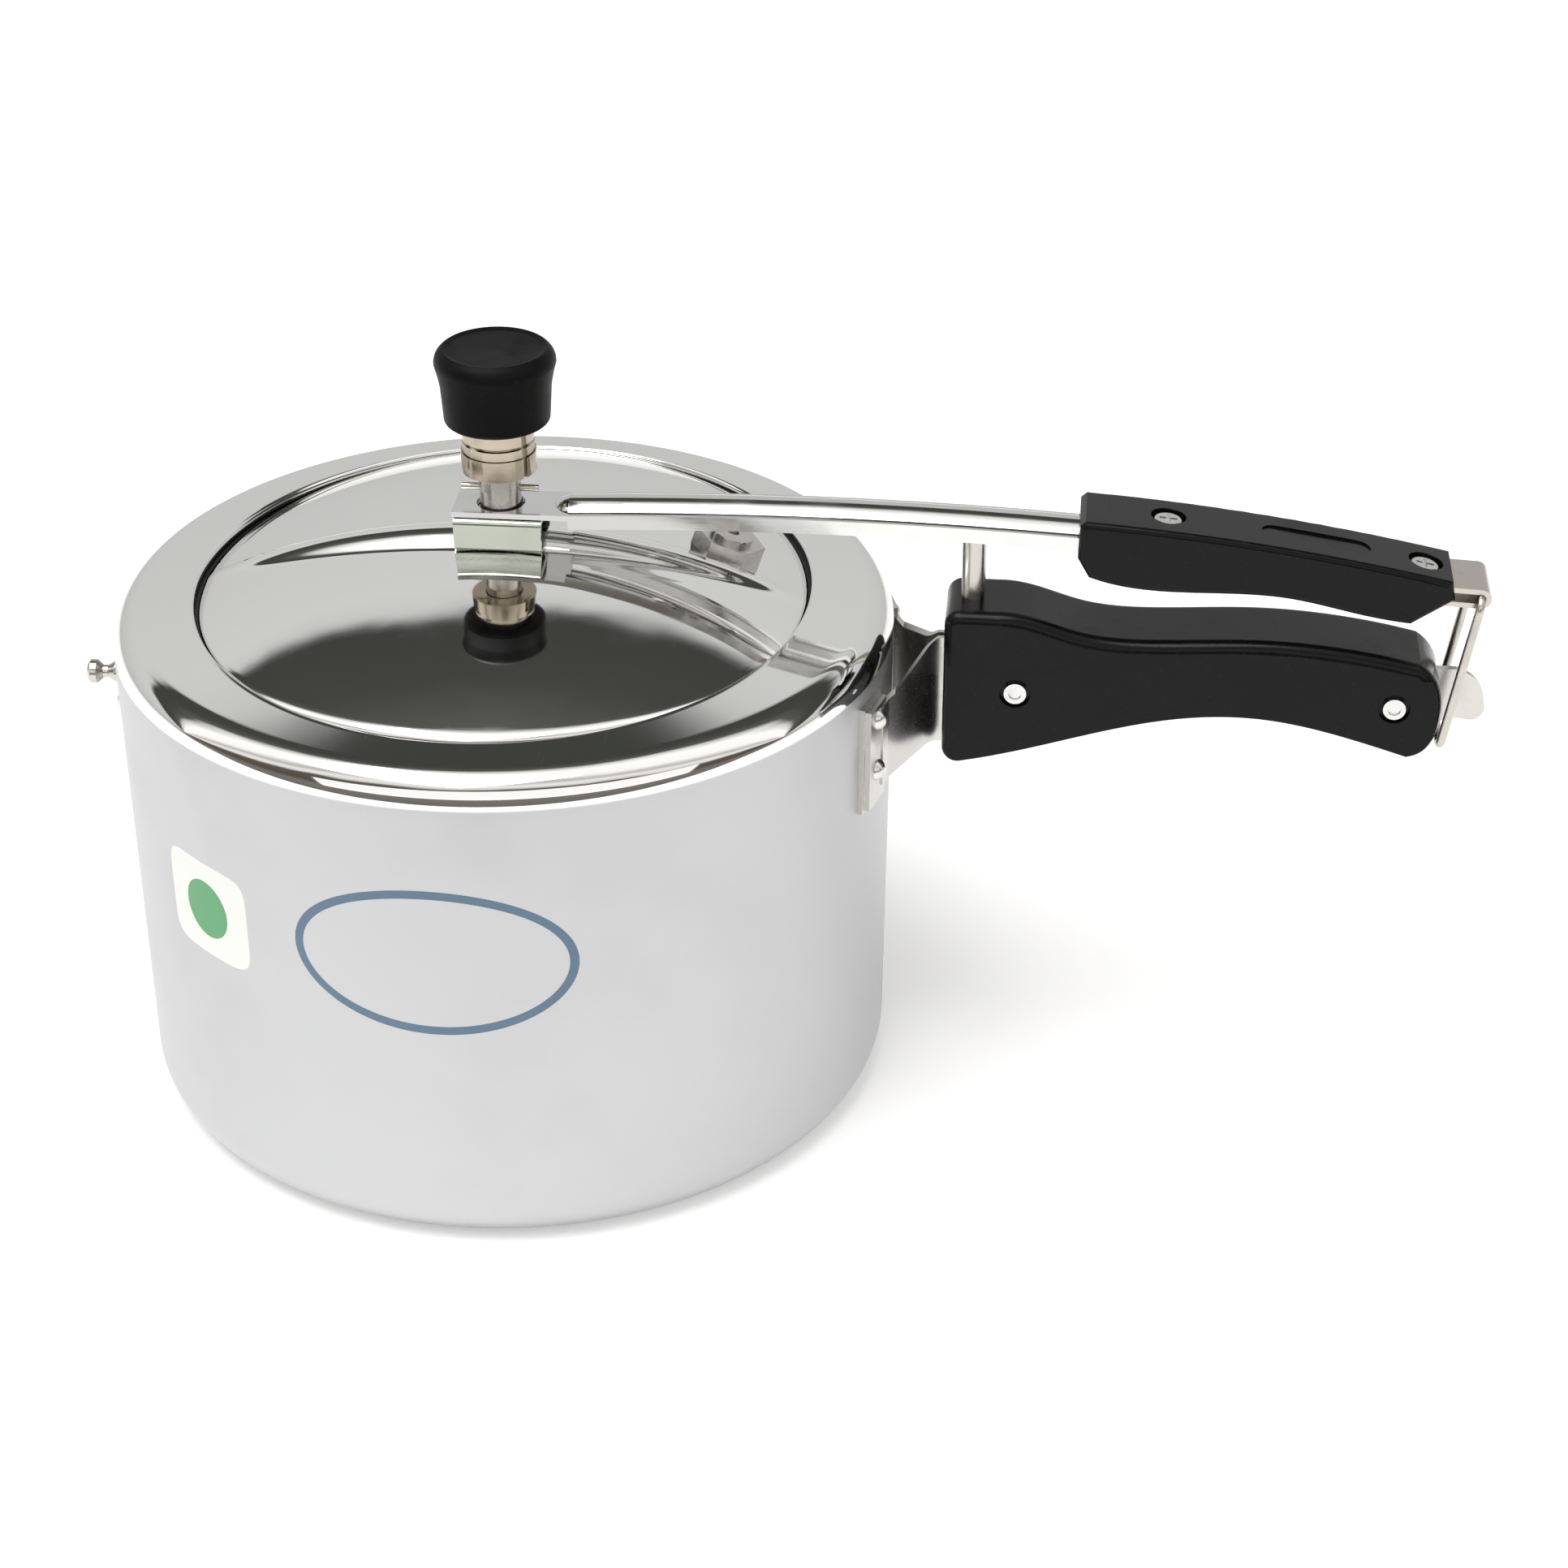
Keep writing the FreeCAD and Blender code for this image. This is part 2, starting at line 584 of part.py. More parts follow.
saddle_sheet = padded(
    "saddle_sheet",
    "YZ_Plane",
    "saddleLength",
    [
        ("saddleWidth / 2", SADDLE_FOOT),
        ("saddleWidth / 2", SADDLE_TOP + " - saddleSheet"),
        ("saddleWidth / 2 - saddleSheet", SADDLE_TOP),
        ("-saddleWidth / 2 + saddleSheet", SADDLE_TOP),
        ("-saddleWidth / 2", SADDLE_TOP + " - saddleSheet"),
        ("-saddleWidth / 2", SADDLE_FOOT),
        ("-saddleWidth / 2 + saddleSheet", SADDLE_FOOT),
        ("-saddleWidth / 2 + saddleSheet", SADDLE_TOP + " - saddleSheet"),
        ("saddleWidth / 2 - saddleSheet", SADDLE_TOP + " - saddleSheet"),
        ("saddleWidth / 2 - saddleSheet", SADDLE_FOOT),
    ],
    {1: ("saddleSheet", True), 3: ("saddleSheet", True)},
)
saddle_hole = cylinder(
    "saddle_hole", "tubeRadius + tubeFit", "saddleSheet * 3", z=SADDLE_TOP + " - saddleSheet * 2"
)
cut("lid_saddle", saddle_sheet, saddle_hole)

TUBE_FOOT = "(%s - tubeDrop)" % LID_UNDER
TUBE_TOP = "(%s + tubeRise)" % SADDLE_TOP
PIN_HEIGHT = "(%s + crossPinRise)" % SADDLE_TOP
tube_turned = revolved(
    "tube_turned",
    [
        ("tubeBore", TUBE_FOOT),
        ("tubeRadius", TUBE_FOOT),
        ("tubeRadius", TUBE_TOP + " - 1"),
        ("tubeRadius - 1", TUBE_TOP),
        ("tubeBore + 1", TUBE_TOP),
        ("tubeBore", TUBE_TOP + " - 1"),
    ],
)
along_x = Rotation(Vector(0, 1, 0), 90)
along_y = Rotation(Vector(1, 0, 0), -90)
PIN_START = "-crossPinLength / 2"
pin_hole = cylinder(
    "pin_hole", "crossPinRadius", "crossPinLength", PIN_START, "0", PIN_HEIGHT, along_x
)
cut("vent_tube", tube_turned, pin_hole)
cylinder("cross_pin", "crossPinRadius", "crossPinLength", PIN_START, "0", PIN_HEIGHT, along_x)

WASHER_TOP = "(%s - 0.3)" % LID_UNDER
NUT_TOP = "(%s - washerThickness)" % WASHER_TOP
washer_disc = cylinder("washer_disc", "washerRadius", "washerThickness", z=NUT_TOP)
washer_hole = cylinder("washer_hole", "tubeRadius", "washerThickness * 3", z=NUT_TOP + " - washerThickness")
cut("vent_washer", washer_disc, washer_hole)
nut_block = hexagon("nut_block", "ventNutFlats", "ventNutHeight", z=NUT_TOP + " - ventNutHeight")
nut_hole = cylinder("nut_hole", "tubeRadius", "ventNutHeight * 2", z=NUT_TOP + " - ventNutHeight * 1.5")
cut("vent_nut", nut_block, nut_hole)

# ---------------------------------------------------------------- safety valve

# drawn upright on its seat, then turned to stand square on the dome
valve_hex = hexagon("valve_hex", "valveFlats", "valveHexHeight")
valve_collar = cylinder("valve_collar", "valveCollarRadius", "valveHexHeight + valveCollarHeight")
valve_stem = cylinder("valve_stem", "valveStemRadius", "valveStemLength", z="-valveStemLength")
valve_solid = fuse("valve_solid", [valve_hex, valve_collar, valve_stem])
valve_passage = cylinder("valve_passage", "valveBore", "valveStemLength * 3", z="-valveStemLength * 1.5")
safety_valve_body = cut("safety_valve_body", valve_solid, valve_passage)
fusible_plug = cylinder(
    "fusible_plug", "valveBore", "valveStemLength",
    z="valveHexHeight + valveCollarHeight - valvePlugDrop - valveStemLength",
)
VALVE_WASHER_FOOT = "(-lidWall - washerThickness - valveWasherGap)"
valve_washer_disc = cylinder(
    "valve_washer_disc", "valveWasherRadius", "washerThickness", z=VALVE_WASHER_FOOT
)
valve_washer_hole = cylinder(
    "valve_washer_hole", "valveStemRadius", "washerThickness * 3",
    z=VALVE_WASHER_FOOT + " - washerThickness",
)
safety_valve_washer = cut("safety_valve_washer", valve_washer_disc, valve_washer_hole)
valve_nut_block = hexagon(
    "valve_nut_block", "valveNutFlats", "valveNutHeight",
    z=VALVE_WASHER_FOOT + " - valveNutHeight",
)
valve_nut_hole = cylinder(
    "valve_nut_hole", "valveStemRadius", "valveNutHeight * 3",
    z=VALVE_WASHER_FOOT + " - valveNutHeight * 2",
)
safety_valve_nut = cut("safety_valve_nut", valve_nut_block, valve_nut_hole)
doc.recompute()
plug_local = fusible_plug.Placement
for piece in (safety_valve_body, safety_valve_washer, safety_valve_nut):
    piece.Placement = valve_placement
for path in ("Placement.Base.x", "Placement.Base.y", "Placement.Base.z"):
    fusible_plug.setExpression(path, None)
fusible_plug.Placement = valve_placement.multiply(plug_local)

# ---------------------------------------------------------------- regulator

WEIGHT_FOOT = "(%s + weightFoot)" % SADDLE_TOP
SOCKET_TOP = "(%s + needleGap)" % TUBE_TOP
CAP_FOOT = "(%s + capFoot)" % SADDLE_TOP
NEEDLE_TOP = "(%s + weightHeight - 5)" % WEIGHT_FOOT
revolved(
    "weight_body",
    [
        ("tubeRadius + weightFit", WEIGHT_FOOT),
        ("weightRadius - ringThickness", WEIGHT_FOOT),
        ("weightRadius - ringThickness", WEIGHT_FOOT + " + ringHeight"),
        ("weightRadius", WEIGHT_FOOT + " + ringHeight"),
        ("weightRadius", WEIGHT_FOOT + " + ringHeight + 2.6"),
        ("weightRadius - 0.5", WEIGHT_FOOT + " + ringHeight + 3.1"),
        ("weightRadius", WEIGHT_FOOT + " + ringHeight + 3.6"),
        ("weightRadius", WEIGHT_FOOT + " + weightHeight"),
        ("needleRadius + needleGap", WEIGHT_FOOT + " + weightHeight"),
        ("needleRadius + needleGap", SOCKET_TOP),
        ("tubeRadius + weightFit", SOCKET_TOP),
    ],
)
ring_outer = cylinder("ring_outer", "weightRadius + 0.4", "ringHeight - 0.4", z=WEIGHT_FOOT + " + 0.2")
ring_inner = cylinder("ring_inner", "weightRadius - ringThickness", "ringHeight * 2", z=WEIGHT_FOOT + " - 1")
ring_tube = cut("ring_tube", ring_outer, ring_inner)
ring_gap = doc.addObject("Part::Box", "ring_gap")
bind(ring_gap, Length="weightRadius * 2", Width="1.2", Height="ringHeight * 2")
place(ring_gap, "0", "-0.6", WEIGHT_FOOT + " - ringHeight / 2", Rotation(Vector(0, 0, 1), -38))
cut("spring_ring", ring_tube, ring_gap)

revolved(
    "valve_needle",
    [
        ("0", TUBE_TOP + " - 4"),
        ("tubeBore - 0.4", TUBE_TOP + " - 1"),
        ("tubeBore - 0.4", TUBE_TOP + " + 0"),
        ("needleRadius", TUBE_TOP + " + needleGap"),
        ("needleRadius", NEEDLE_TOP),
        ("0", NEEDLE_TOP),
    ],
)

revolved(
    "regulator_cap",
    [
        ("weightRadius + capFit", CAP_FOOT),
        ("capFootRadius - 1.5", CAP_FOOT),
        ("capFootRadius", CAP_FOOT + " + 1.5"),
        ("capWaistRadius", CAP_FOOT + " + capShoulderRise * 0.6"),
        ("capShoulderRadius", CAP_FOOT + " + capShoulderRise"),
        ("capTopRadius", CAP_FOOT + " + capHeight"),
        ("capTopRadius - 1.6", CAP_FOOT + " + capHeight - capDish * 0.6"),
        ("0", CAP_FOOT + " + capHeight - capDish"),
        ("0", WEIGHT_FOOT + " + weightHeight + capFit"),
        ("weightRadius + capFit", WEIGHT_FOOT + " + weightHeight + capFit"),
    ],
    {
        1: ("1.5", True),
        3: ("capHeight * 2.2", False),
        4: ("capShoulderRadius - capTopRadius + 2.2", True),
    },
)

# ---------------------------------------------------------------- lever bar

fulcrum_x = size.potRadius + size.fulcrumX
plate_under = saddle_top + size.barClearance
bead_start = size.barPlateFront - 1.0
nose_x = bead_start + 0.5
apex_x = size.potRadius - size.barApexInset
arch_drop = size.barArchRadius - math.sqrt(size.barArchRadius ** 2 - (apex_x - nose_x) ** 2)
apex_height = plate_under + arch_drop
lid_handle_x = size.potRadius + size.lidHandleStart
lid_handle_end = lid_handle_x + size.lidHandleLength
lid_screw_x = [lid_handle_x + size.lidScrewOneX, lid_handle_end - size.lidScrewTwoInset]
bar_end = lid_screw_x[1] - 12
half_bar = size.barWidth / 2
arch_centre = Vector(apex_x, 0, apex_height - size.barArchRadius)
bend_angle = math.asin((lid_handle_x - apex_x) / size.barArchRadius)
bend_start = arch_centre + Vector(math.sin(bend_angle), 0, math.cos(bend_angle)) * size.barArchRadius
bend_centre = bend_start - Vector(math.sin(bend_angle), 0, math.cos(bend_angle)) * size.barBendRadius


def bar_angle(x):
    """Downward slope of the bar's line, in radians."""
    if x <= lid_handle_x:
        return math.asin((x - arch_centre.x) / size.barArchRadius)
    return math.asin((x - bend_centre.x) / size.barBendRadius)


def bar_point(x, offset=0.0):
    """A point on the bar's line, or offset from it along its normal."""
    angle = bar_angle(x)
    centre, radius = (arch_centre, size.barArchRadius)
    if x > lid_handle_x:
        centre, radius = (bend_centre, size.barBendRadius)
    return centre + Vector(math.sin(angle), 0, math.cos(angle)) * (radius + offset)


def bar_arc(x_start, x_end, offset=0.0):
    middle = (x_start + x_end) / 2
    return Part.Arc(bar_point(x_start, offset), bar_point(middle, offset), bar_point(x_end, offset)).toShape()


bar_path = Part.Wire([bar_arc(bead_start, lid_handle_x), bar_arc(lid_handle_x, bar_end)])


def bar_frame(y, z):
    """A point of the channel's section at the start of the bar."""
    base = bar_point(bead_start, z)
    return Vector(base.x, y, base.z)


half_bead = size.barBeadWidth / 2
inner_bead = half_bead - size.barSheet
section_edges = [
    Part.LineSegment(bar_frame(-half_bar, -size.barFlange), bar_frame(-half_bar, size.barSheet)).toShape(),
    Part.LineSegment(bar_frame(-half_bar, size.barSheet), bar_frame(-half_bead, size.barSheet)).toShape(),
    Part.Arc(
        bar_frame(-half_bead, size.barSheet),
        bar_frame(0, size.barBeadHeight),
        bar_frame(half_bead, size.barSheet),
    ).toShape(),
    Part.LineSegment(bar_frame(half_bead, size.barSheet), bar_frame(half_bar, size.barSheet)).toShape(),
    Part.LineSegment(bar_frame(half_bar, size.barSheet), bar_frame(half_bar, -size.barFlange)).toShape(),
    Part.LineSegment(
        bar_frame(half_bar, -size.barFlange), bar_frame(half_bar - size.barSheet, -size.barFlange)
    ).toShape(),
    Part.LineSegment(
        bar_frame(half_bar - size.barSheet, -size.barFlange), bar_frame(half_bar - size.barSheet, 0)
    ).toShape(),
    Part.LineSegment(bar_frame(half_bar - size.barSheet, 0), bar_frame(inner_bead, 0)).toShape(),
    Part.Arc(
        bar_frame(inner_bead, 0),
        bar_frame(0, size.barBeadHeight - size.barSheet),
        bar_frame(-inner_bead, 0),
    ).toShape(),
    Part.LineSegment(bar_frame(-inner_bead, 0), bar_frame(-half_bar + size.barSheet, 0)).toShape(),
    Part.LineSegment(
        bar_frame(-half_bar + size.barSheet, 0), bar_frame(-half_bar + size.barSheet, -size.barFlange)
    ).toShape(),
    Part.LineSegment(
        bar_frame(-half_bar + size.barSheet, -size.barFlange), bar_frame(-half_bar, -size.barFlange)
    ).toShape(),
]
channel = swept(bar_path, Part.Wire(section_edges))

plate = Part.makeBox(
    size.barPlateBack + size.barPlateFront,
    size.barWidth,
    size.barSheet,
    Vector(-size.barPlateBack, -half_bar, plate_under),
)
# the bead begins in a rounded nose on the plate
nose = Part.makeSphere(1)
nose_matrix = FreeCAD.Matrix()
nose_matrix.scale(half_bead, half_bead * 0.98, size.barBeadHeight - 0.2)
nose = nose.transformGeometry(nose_matrix)
nose.translate(Vector(nose_x, 0, plate_under))
nose = nose.common(Part.makeBox(half_bead * 2, half_bar * 2, size.barBeadHeight * 2,
                                Vector(nose_x - half_bead * 2, -half_bar, plate_under)))
rivet_height = bar_point(fulcrum_x).z - 1.0
rivet_hole = Part.makeCylinder(
    size.rivetRadius, size.barWidth, Vector(fulcrum_x, -half_bar, rivet_height), Vector(0, 1, 0)
)
tube_slot = Part.makeCylinder(size.tubeRadius + size.barHoleFit, 10, Vector(0, 0, plate_under - 5))


def along_bar(x, offset):
    """A placement on the bar's line with Z along its normal."""
    return Placement(bar_point(x, offset), Rotation(Vector(0, 1, 0), math.degrees(bar_angle(x))))


def upright_on_bar(x, offset, radius, height):
    """A cylinder that stands square on the bar."""
    drum = Part.makeCylinder(radius, height)
    drum.Placement = along_bar(x, offset)
    return drum


bar_shape = channel.fuse(plate).fuse(nose).cut(rivet_hole).cut(tube_slot)
bar_shape = bar_shape.cut(upright_on_bar(lid_screw_x[0], -10, size.lidScrewShank, 20))
feature("lever_bar", bar_shape.removeSplitter())
feature("fulcrum_rivet", rivet_hole)

# ---------------------------------------------------------------- latch

knuckle = Vector(
    lid_handle_end + size.knuckleBeyond, 0, bar_point(lid_handle_end).z + size.knuckleRise
)
knuckle_inner = size.wireRadius + size.knuckleFit
knuckle_outer = knuckle_inner + size.knuckleSheet
strip_rotation = Rotation(Vector(0, 1, 0), size.knuckleSlope)
upper_leaf_length = (knuckle.x - lid_screw_x[1]) + 7
lower_leaf_length = size.knuckleBeyond + 4


def leaf(length, low):
    return Part.makeBox(
        length, size.knuckleWidth, size.knuckleSheet, Vector(-length, -size.knuckleWidth / 2, low)
    )


curl = Part.makeCylinder(
    knuckle_outer, size.knuckleWidth, Vector(0, -size.knuckleWidth / 2, 0), Vector(0, 1, 0)
)
curl = curl.common(Part.makeBox(20, 40, 40, Vector(0, -20, -20)))
strip_shape = curl.fuse([leaf(upper_leaf_length, knuckle_inner), leaf(lower_leaf_length, -knuckle_outer)])
strip_shape = strip_shape.cut(Part.makeCylinder(knuckle_inner, 40, Vector(0, -20, 0), Vector(0, 1, 0)))
strip_shape.Placement = Placement(knuckle, strip_rotation)
strip_screw_hole = upright_on_bar(lid_screw_x[1], -15, size.lidScrewShank, 30)
feature("latch_strip", strip_shape.cut(strip_screw_hole).removeSplitter())

half_loop = size.loopWidth / 2
lean = Rotation(Vector(0, 1, 0), size.loopLean)
loop_corners = [
    Vector(0, 0, 0),
    Vector(0, half_loop, 0),
    Vector(0, half_loop, -size.loopLength),
    Vector(0, -half_loop, -size.loopLength),
    Vector(0, -half_loop, 0),
]
loop_points = [knuckle + lean.multVec(corner) for corner in loop_corners]


def loop_half(points):
    """Half of the loop's wire, from the middle of its top bar to the middle of its bottom bar."""
    path = rounded_path(points, size.loopCorner)
    heading = (points[1] - points[0]).normalize()
    section = Part.Wire(Part.Circle(points[0], heading, size.wireRadius).toShape())
    return swept(path, section)


loop_bottom = (loop_points[2] + loop_points[3]) * 0.5
loop_back = loop_half([loop_points[0], loop_points[1], loop_points[2], loop_bottom])
loop_front = loop_half([loop_points[0], loop_points[4], loop_points[3], loop_bottom])
feature("locking_loop", loop_back.fuse(loop_front).removeSplitter())

# ---------------------------------------------------------------- lid handle

half_grip = size.lidHandleWidth / 2
grip_top_end = bar_point(lid_handle_end - 2.5, size.lidHandleRise)
grip_tail = Vector(lid_handle_end, 0, grip_top_end.z - 5.5)
def along_grip(share):
    """A place along the lid handle, from its front end (0) to its back end (1)."""
    return lid_handle_x + size.lidHandleLength * share


grip_low = [
    bar_point(along_grip(0.0381), -9.2),
    bar_point(along_grip(0.1333), -11.0),
    bar_point(along_grip(0.3238), -10.2),
    bar_point(along_grip(0.5714), -7.4),
    bar_point(along_grip(0.7810), -8.2),
    bar_point(along_grip(0.9048), -7.6),
]
grip_front_top = bar_point(lid_handle_x + 1.5, size.lidHandleRise)
grip_front_low = bar_point(lid_handle_x + 0.3, -3.6)
grip_edges = [
    bar_arc(lid_handle_x + 1.5, lid_handle_end - 2.5, size.lidHandleRise),
    Part.LineSegment(grip_top_end, grip_tail).toShape(),
    Part.LineSegment(grip_tail, grip_low[-1]).toShape(),
    smooth_side(list(reversed(grip_low))),
    Part.LineSegment(grip_low[0], grip_front_low).toShape(),
    Part.LineSegment(grip_front_low, bar_point(lid_handle_x, size.lidHandleRise - 1.5)).toShape(),
    Part.LineSegment(bar_point(lid_handle_x, size.lidHandleRise - 1.5), grip_front_top).toShape(),
]
grip_face = Part.Face(Part.Wire(grip_edges))
grip_face.translate(Vector(0, -half_grip, 0))
grip = grip_face.extrude(Vector(0, size.lidHandleWidth, 0))
grip = filleted(
    grip,
    size.lidHandleRound,
    lambda edge: abs(abs(edge.CenterOfMass.y) - half_grip) < 0.01,
)

bar_space_edges = [
    bar_arc(lid_handle_x - 5, bar_end, size.barBeadHeight),
    Part.LineSegment(bar_point(bar_end, size.barBeadHeight), bar_point(bar_end, -size.barFlange)).toShape(),
    bar_arc(lid_handle_x - 5, bar_end, -size.barFlange),
    Part.LineSegment(
        bar_point(lid_handle_x - 5, -size.barFlange), bar_point(lid_handle_x - 5, size.barBeadHeight)
    ).toShape(),
]
bar_space = Part.Face(Part.Wire(Part.sortEdges(bar_space_edges)[0]))
bar_space.translate(Vector(0, -half_bar, 0))
bar_space = bar_space.extrude(Vector(0, size.barWidth, 0))
grip = grip.cut(bar_space)
strip_space = Part.makeBox(
    lower_leaf_length, size.knuckleWidth, knuckle_outer * 2,
    Vector(-lower_leaf_length, -size.knuckleWidth / 2, -knuckle_outer),
).fuse(leaf(upper_leaf_length, knuckle_inner))
strip_space.Placement = Placement(knuckle, strip_rotation)
grip = grip.cut(strip_space)

for screw_x in lid_screw_x:
    grip = grip.cut(upright_on_bar(screw_x, size.lidHandleRise - size.lidScrewDepth, size.lidScrewRecess, 20))
    grip = grip.cut(upright_on_bar(screw_x, -30, size.lidScrewShank, 60))


def nut_on_bar(x, offset, grow=0.0):
    """A square nut under the bar."""
    half = size.lidNutSize / 2 + grow
    block = Part.makeBox(half * 2, half * 2, 3, Vector(-half, -half, 0))
    block.Placement = along_bar(x, offset)
    return block


nut_offset = [-size.barSheet - 1.6, -1.2]
for screw_x, offset in zip(lid_screw_x, nut_offset):
    grip = grip.cut(nut_on_bar(screw_x, offset))
pad_middle = along_grip(0.62)
pad_run = size.padLength - size.padWidth
pad_tool = Part.makeBox(pad_run, size.padWidth, 5, Vector(-pad_run / 2, -size.padWidth / 2, 0))
for end in (-1, 1):
    pad_tool = pad_tool.fuse(Part.makeCylinder(size.padWidth / 2, 5, Vector(end * pad_run / 2, 0, 0)))
pad_tool.Placement = along_bar(pad_middle, size.lidHandleRise - size.padDepth)
grip = grip.cut(pad_tool)
feature("lid_handle", max(grip.Solids, key=lambda solid: solid.Volume))

lid_screws = []
for screw_x, offset in zip(lid_screw_x, nut_offset):
    length = size.lidHandleRise - size.lidScrewDepth - offset
    screw = Part.makeCylinder(size.lidScrewShank, length)
    head = Part.makeCylinder(size.lidScrewHead, 1.7, Vector(0, 0, length))
    head = filleted(head, 0.8, lambda edge: edge.CenterOfMass.z > length + 1)
    cross_wide = Part.makeBox(5, 1.1, 3, Vector(-2.5, -0.55, length + 0.7))
    cross_deep = Part.makeBox(1.1, 5, 3, Vector(-0.55, -2.5, length + 0.7))
    screw = screw.fuse(head).cut(cross_wide.fuse(cross_deep))
    screw.Placement = along_bar(screw_x, offset)
    lid_screws.append(screw)
feature("lid_handle_screws", Part.makeCompound(lid_screws))
feature("lid_handle_nuts", Part.makeCompound([
    nut_on_bar(screw_x, offset).cut(upright_on_bar(screw_x, -30, size.lidScrewShank, 60))
    for screw_x, offset in zip(lid_screw_x, nut_offset)
]))

# ---------------------------------------------------------------- wall layers, bracket and rivets


def wall_radius(z):
    """Outer radius of the tapered wall."""
    share = (z - size.potCornerRadius) / (seam - size.potCornerRadius)
    return size.potBaseRadius + (size.potRadius - size.potBaseRadius) * share


def wall_cone(offset, low, high):
    return Part.makeCone(wall_radius(low) + offset, wall_radius(high) + offset, high - low, Vector(0, 0, low))


def wall_layer(offset, thickness, azimuth, width, low, high):
    """A rectangular plate that hugs the wall."""
    ring = wall_cone(offset + thickness, low, high).cut(wall_cone(offset, low, high))
    window = Part.makeBox(size.potRadius, width, high - low, Vector(size.potRadius * 0.5, -width / 2, low))
    window.rotate(Vector(0, 0, 0), Vector(0, 0, 1), azimuth)
    return ring.common(window)


def radial_hole(azimuth, z, radius):
    hole = Part.makeCylinder(radius, 40, Vector(size.potRadius - 20, 0, z), Vector(1, 0, 0))
    hole.rotate(Vector(0, 0, 0), Vector(0, 0, 1), azimuth)
    return hole


def clear_of_wall(shape, azimuth, z, grip):
    """Trims what is driven through the wall and the plates on it to the hole, between their faces."""
    low = z - 12
    layers = wall_cone(grip, low, z + 12).cut(wall_cone(-size.potWall, low, z + 12))
    return shape.cut(layers.cut(radial_hole(azimuth, z, size.rivetShank)))


def rivet(azimuth, z, grip):
    """A rivet through the wall with a domed head outside and a flat head inside."""
    outside = wall_radius(z) + grip
    inside = wall_radius(z) - size.potWall
    height = size.rivetHead * 0.7
    ball_radius = (size.rivetHead ** 2 + height ** 2) / (2 * height)
    shank = Part.makeCylinder(size.rivetShank, outside - inside, Vector(inside, 0, 0), Vector(1, 0, 0))
    dome_head = Part.makeSphere(ball_radius, Vector(outside + height - ball_radius, 0, 0))
    dome_head = dome_head.common(Part.makeBox(10, 20, 20, Vector(outside - 0.15, -10, -10)))
    inner_head = Part.makeCone(
        size.rivetHead - 0.8, size.rivetHead, 1.4, Vector(inside - 1.2, 0, 0), Vector(1, 0, 0)
    )
    whole = shank.fuse([dome_head, inner_head])
    whole.translate(Vector(0, 0, z))
    whole.rotate(Vector(0, 0, 0), Vector(0, 0, 1), azimuth)
    return clear_of_wall(whole, azimuth, z, grip)


flange_low = seam + size.bracketLow
flange_high = seam + size.bracketHigh
rivet_levels = [seam + size.rivetUpper, seam + size.rivetUpper - size.rivetSpacing]
handle_x = size.potRadius + size.handleStart
handle_end = lid_handle_end - size.handleEndInset
tang_offset = (size.catchThickness + size.sheetThickness) / 2
wing_low = flange_low + 4
wing_high = flange_high + 6
screw_z = seam + size.handleAxis
tongue_low = screw_z - 9
tongue_high = screw_z + 9


def bracket_wing(side):
    """One wing: a flange on the wall, a slanting web and a tongue into the handle."""
    azimuth = side * size.flangeAzimuth
    flange = wall_layer(
        size.backingThickness, size.sheetThickness, azimuth, size.flangeWidth, flange_low, flange_high
    )
    turn = math.radians(azimuth)
    stand = size.potRadius + size.backingThickness + size.sheetThickness / 2
    across = size.flangeWidth / 2
    root = Vector(
        stand * math.cos(turn) + side * across * math.sin(turn),
        stand * math.sin(turn) - side * across * math.cos(turn),
        wing_low,
    )
    root_inside = root + Vector(math.sin(turn) * side, -math.cos(turn) * side, 0) * -3.0
    path = rounded_path(
        [
            root_inside,
            root + Vector(math.sin(turn) * side, -math.cos(turn) * side, 0) * 1.5,
            Vector(handle_x - 4, side * tang_offset, wing_low),
            Vector(handle_x + size.tangLength, side * tang_offset, wing_low),
        ],
        size.wingBend,
    )
    heading = (path.Edges[0].Vertexes[1].Point - path.Edges[0].Vertexes[0].Point).normalize()
    sideways = Vector(-heading.y, heading.x, 0) * (size.sheetThickness / 2)
    lift = Vector(0, 0, wing_high - wing_low)
    start = root_inside
    section = Part.makePolygon([
        start - sideways,
        start + sideways,
        start + sideways + lift,
        start - sideways + lift,
        start - sideways,
    ])
    web = swept(path, section)
    # the web is lower at the wall than at the handle
    trim = Part.Face(Part.makePolygon([
        Vector(size.potRadius - 12, -60, flange_high - 2),
        Vector(size.potRadius + 2, -60, flange_high - 2),
        Vector(handle_x - 2, -60, wing_high),
        Vector(handle_x + 6, -60, wing_high),
        Vector(handle_x + 6, -60, wing_high + 10),
        Vector(size.potRadius - 12, -60, wing_high + 10),
        Vector(size.potRadius - 12, -60, flange_high - 2),
    ])).extrude(Vector(0, 120, 0))
    tongue_trims = [
        Part.makeBox(size.tangLength + 2, 20, 40, Vector(handle_x - 0.3, -10, tongue_high)),
        Part.makeBox(size.tangLength + 2, 20, 40, Vector(handle_x - 0.3, -10, tongue_low - 40)),
    ]
    web = web.cut([trim] + tongue_trims + [wall_cone(size.backingThickness, flange_low - 5, seam)])
    return flange.fuse(web).removeSplitter()


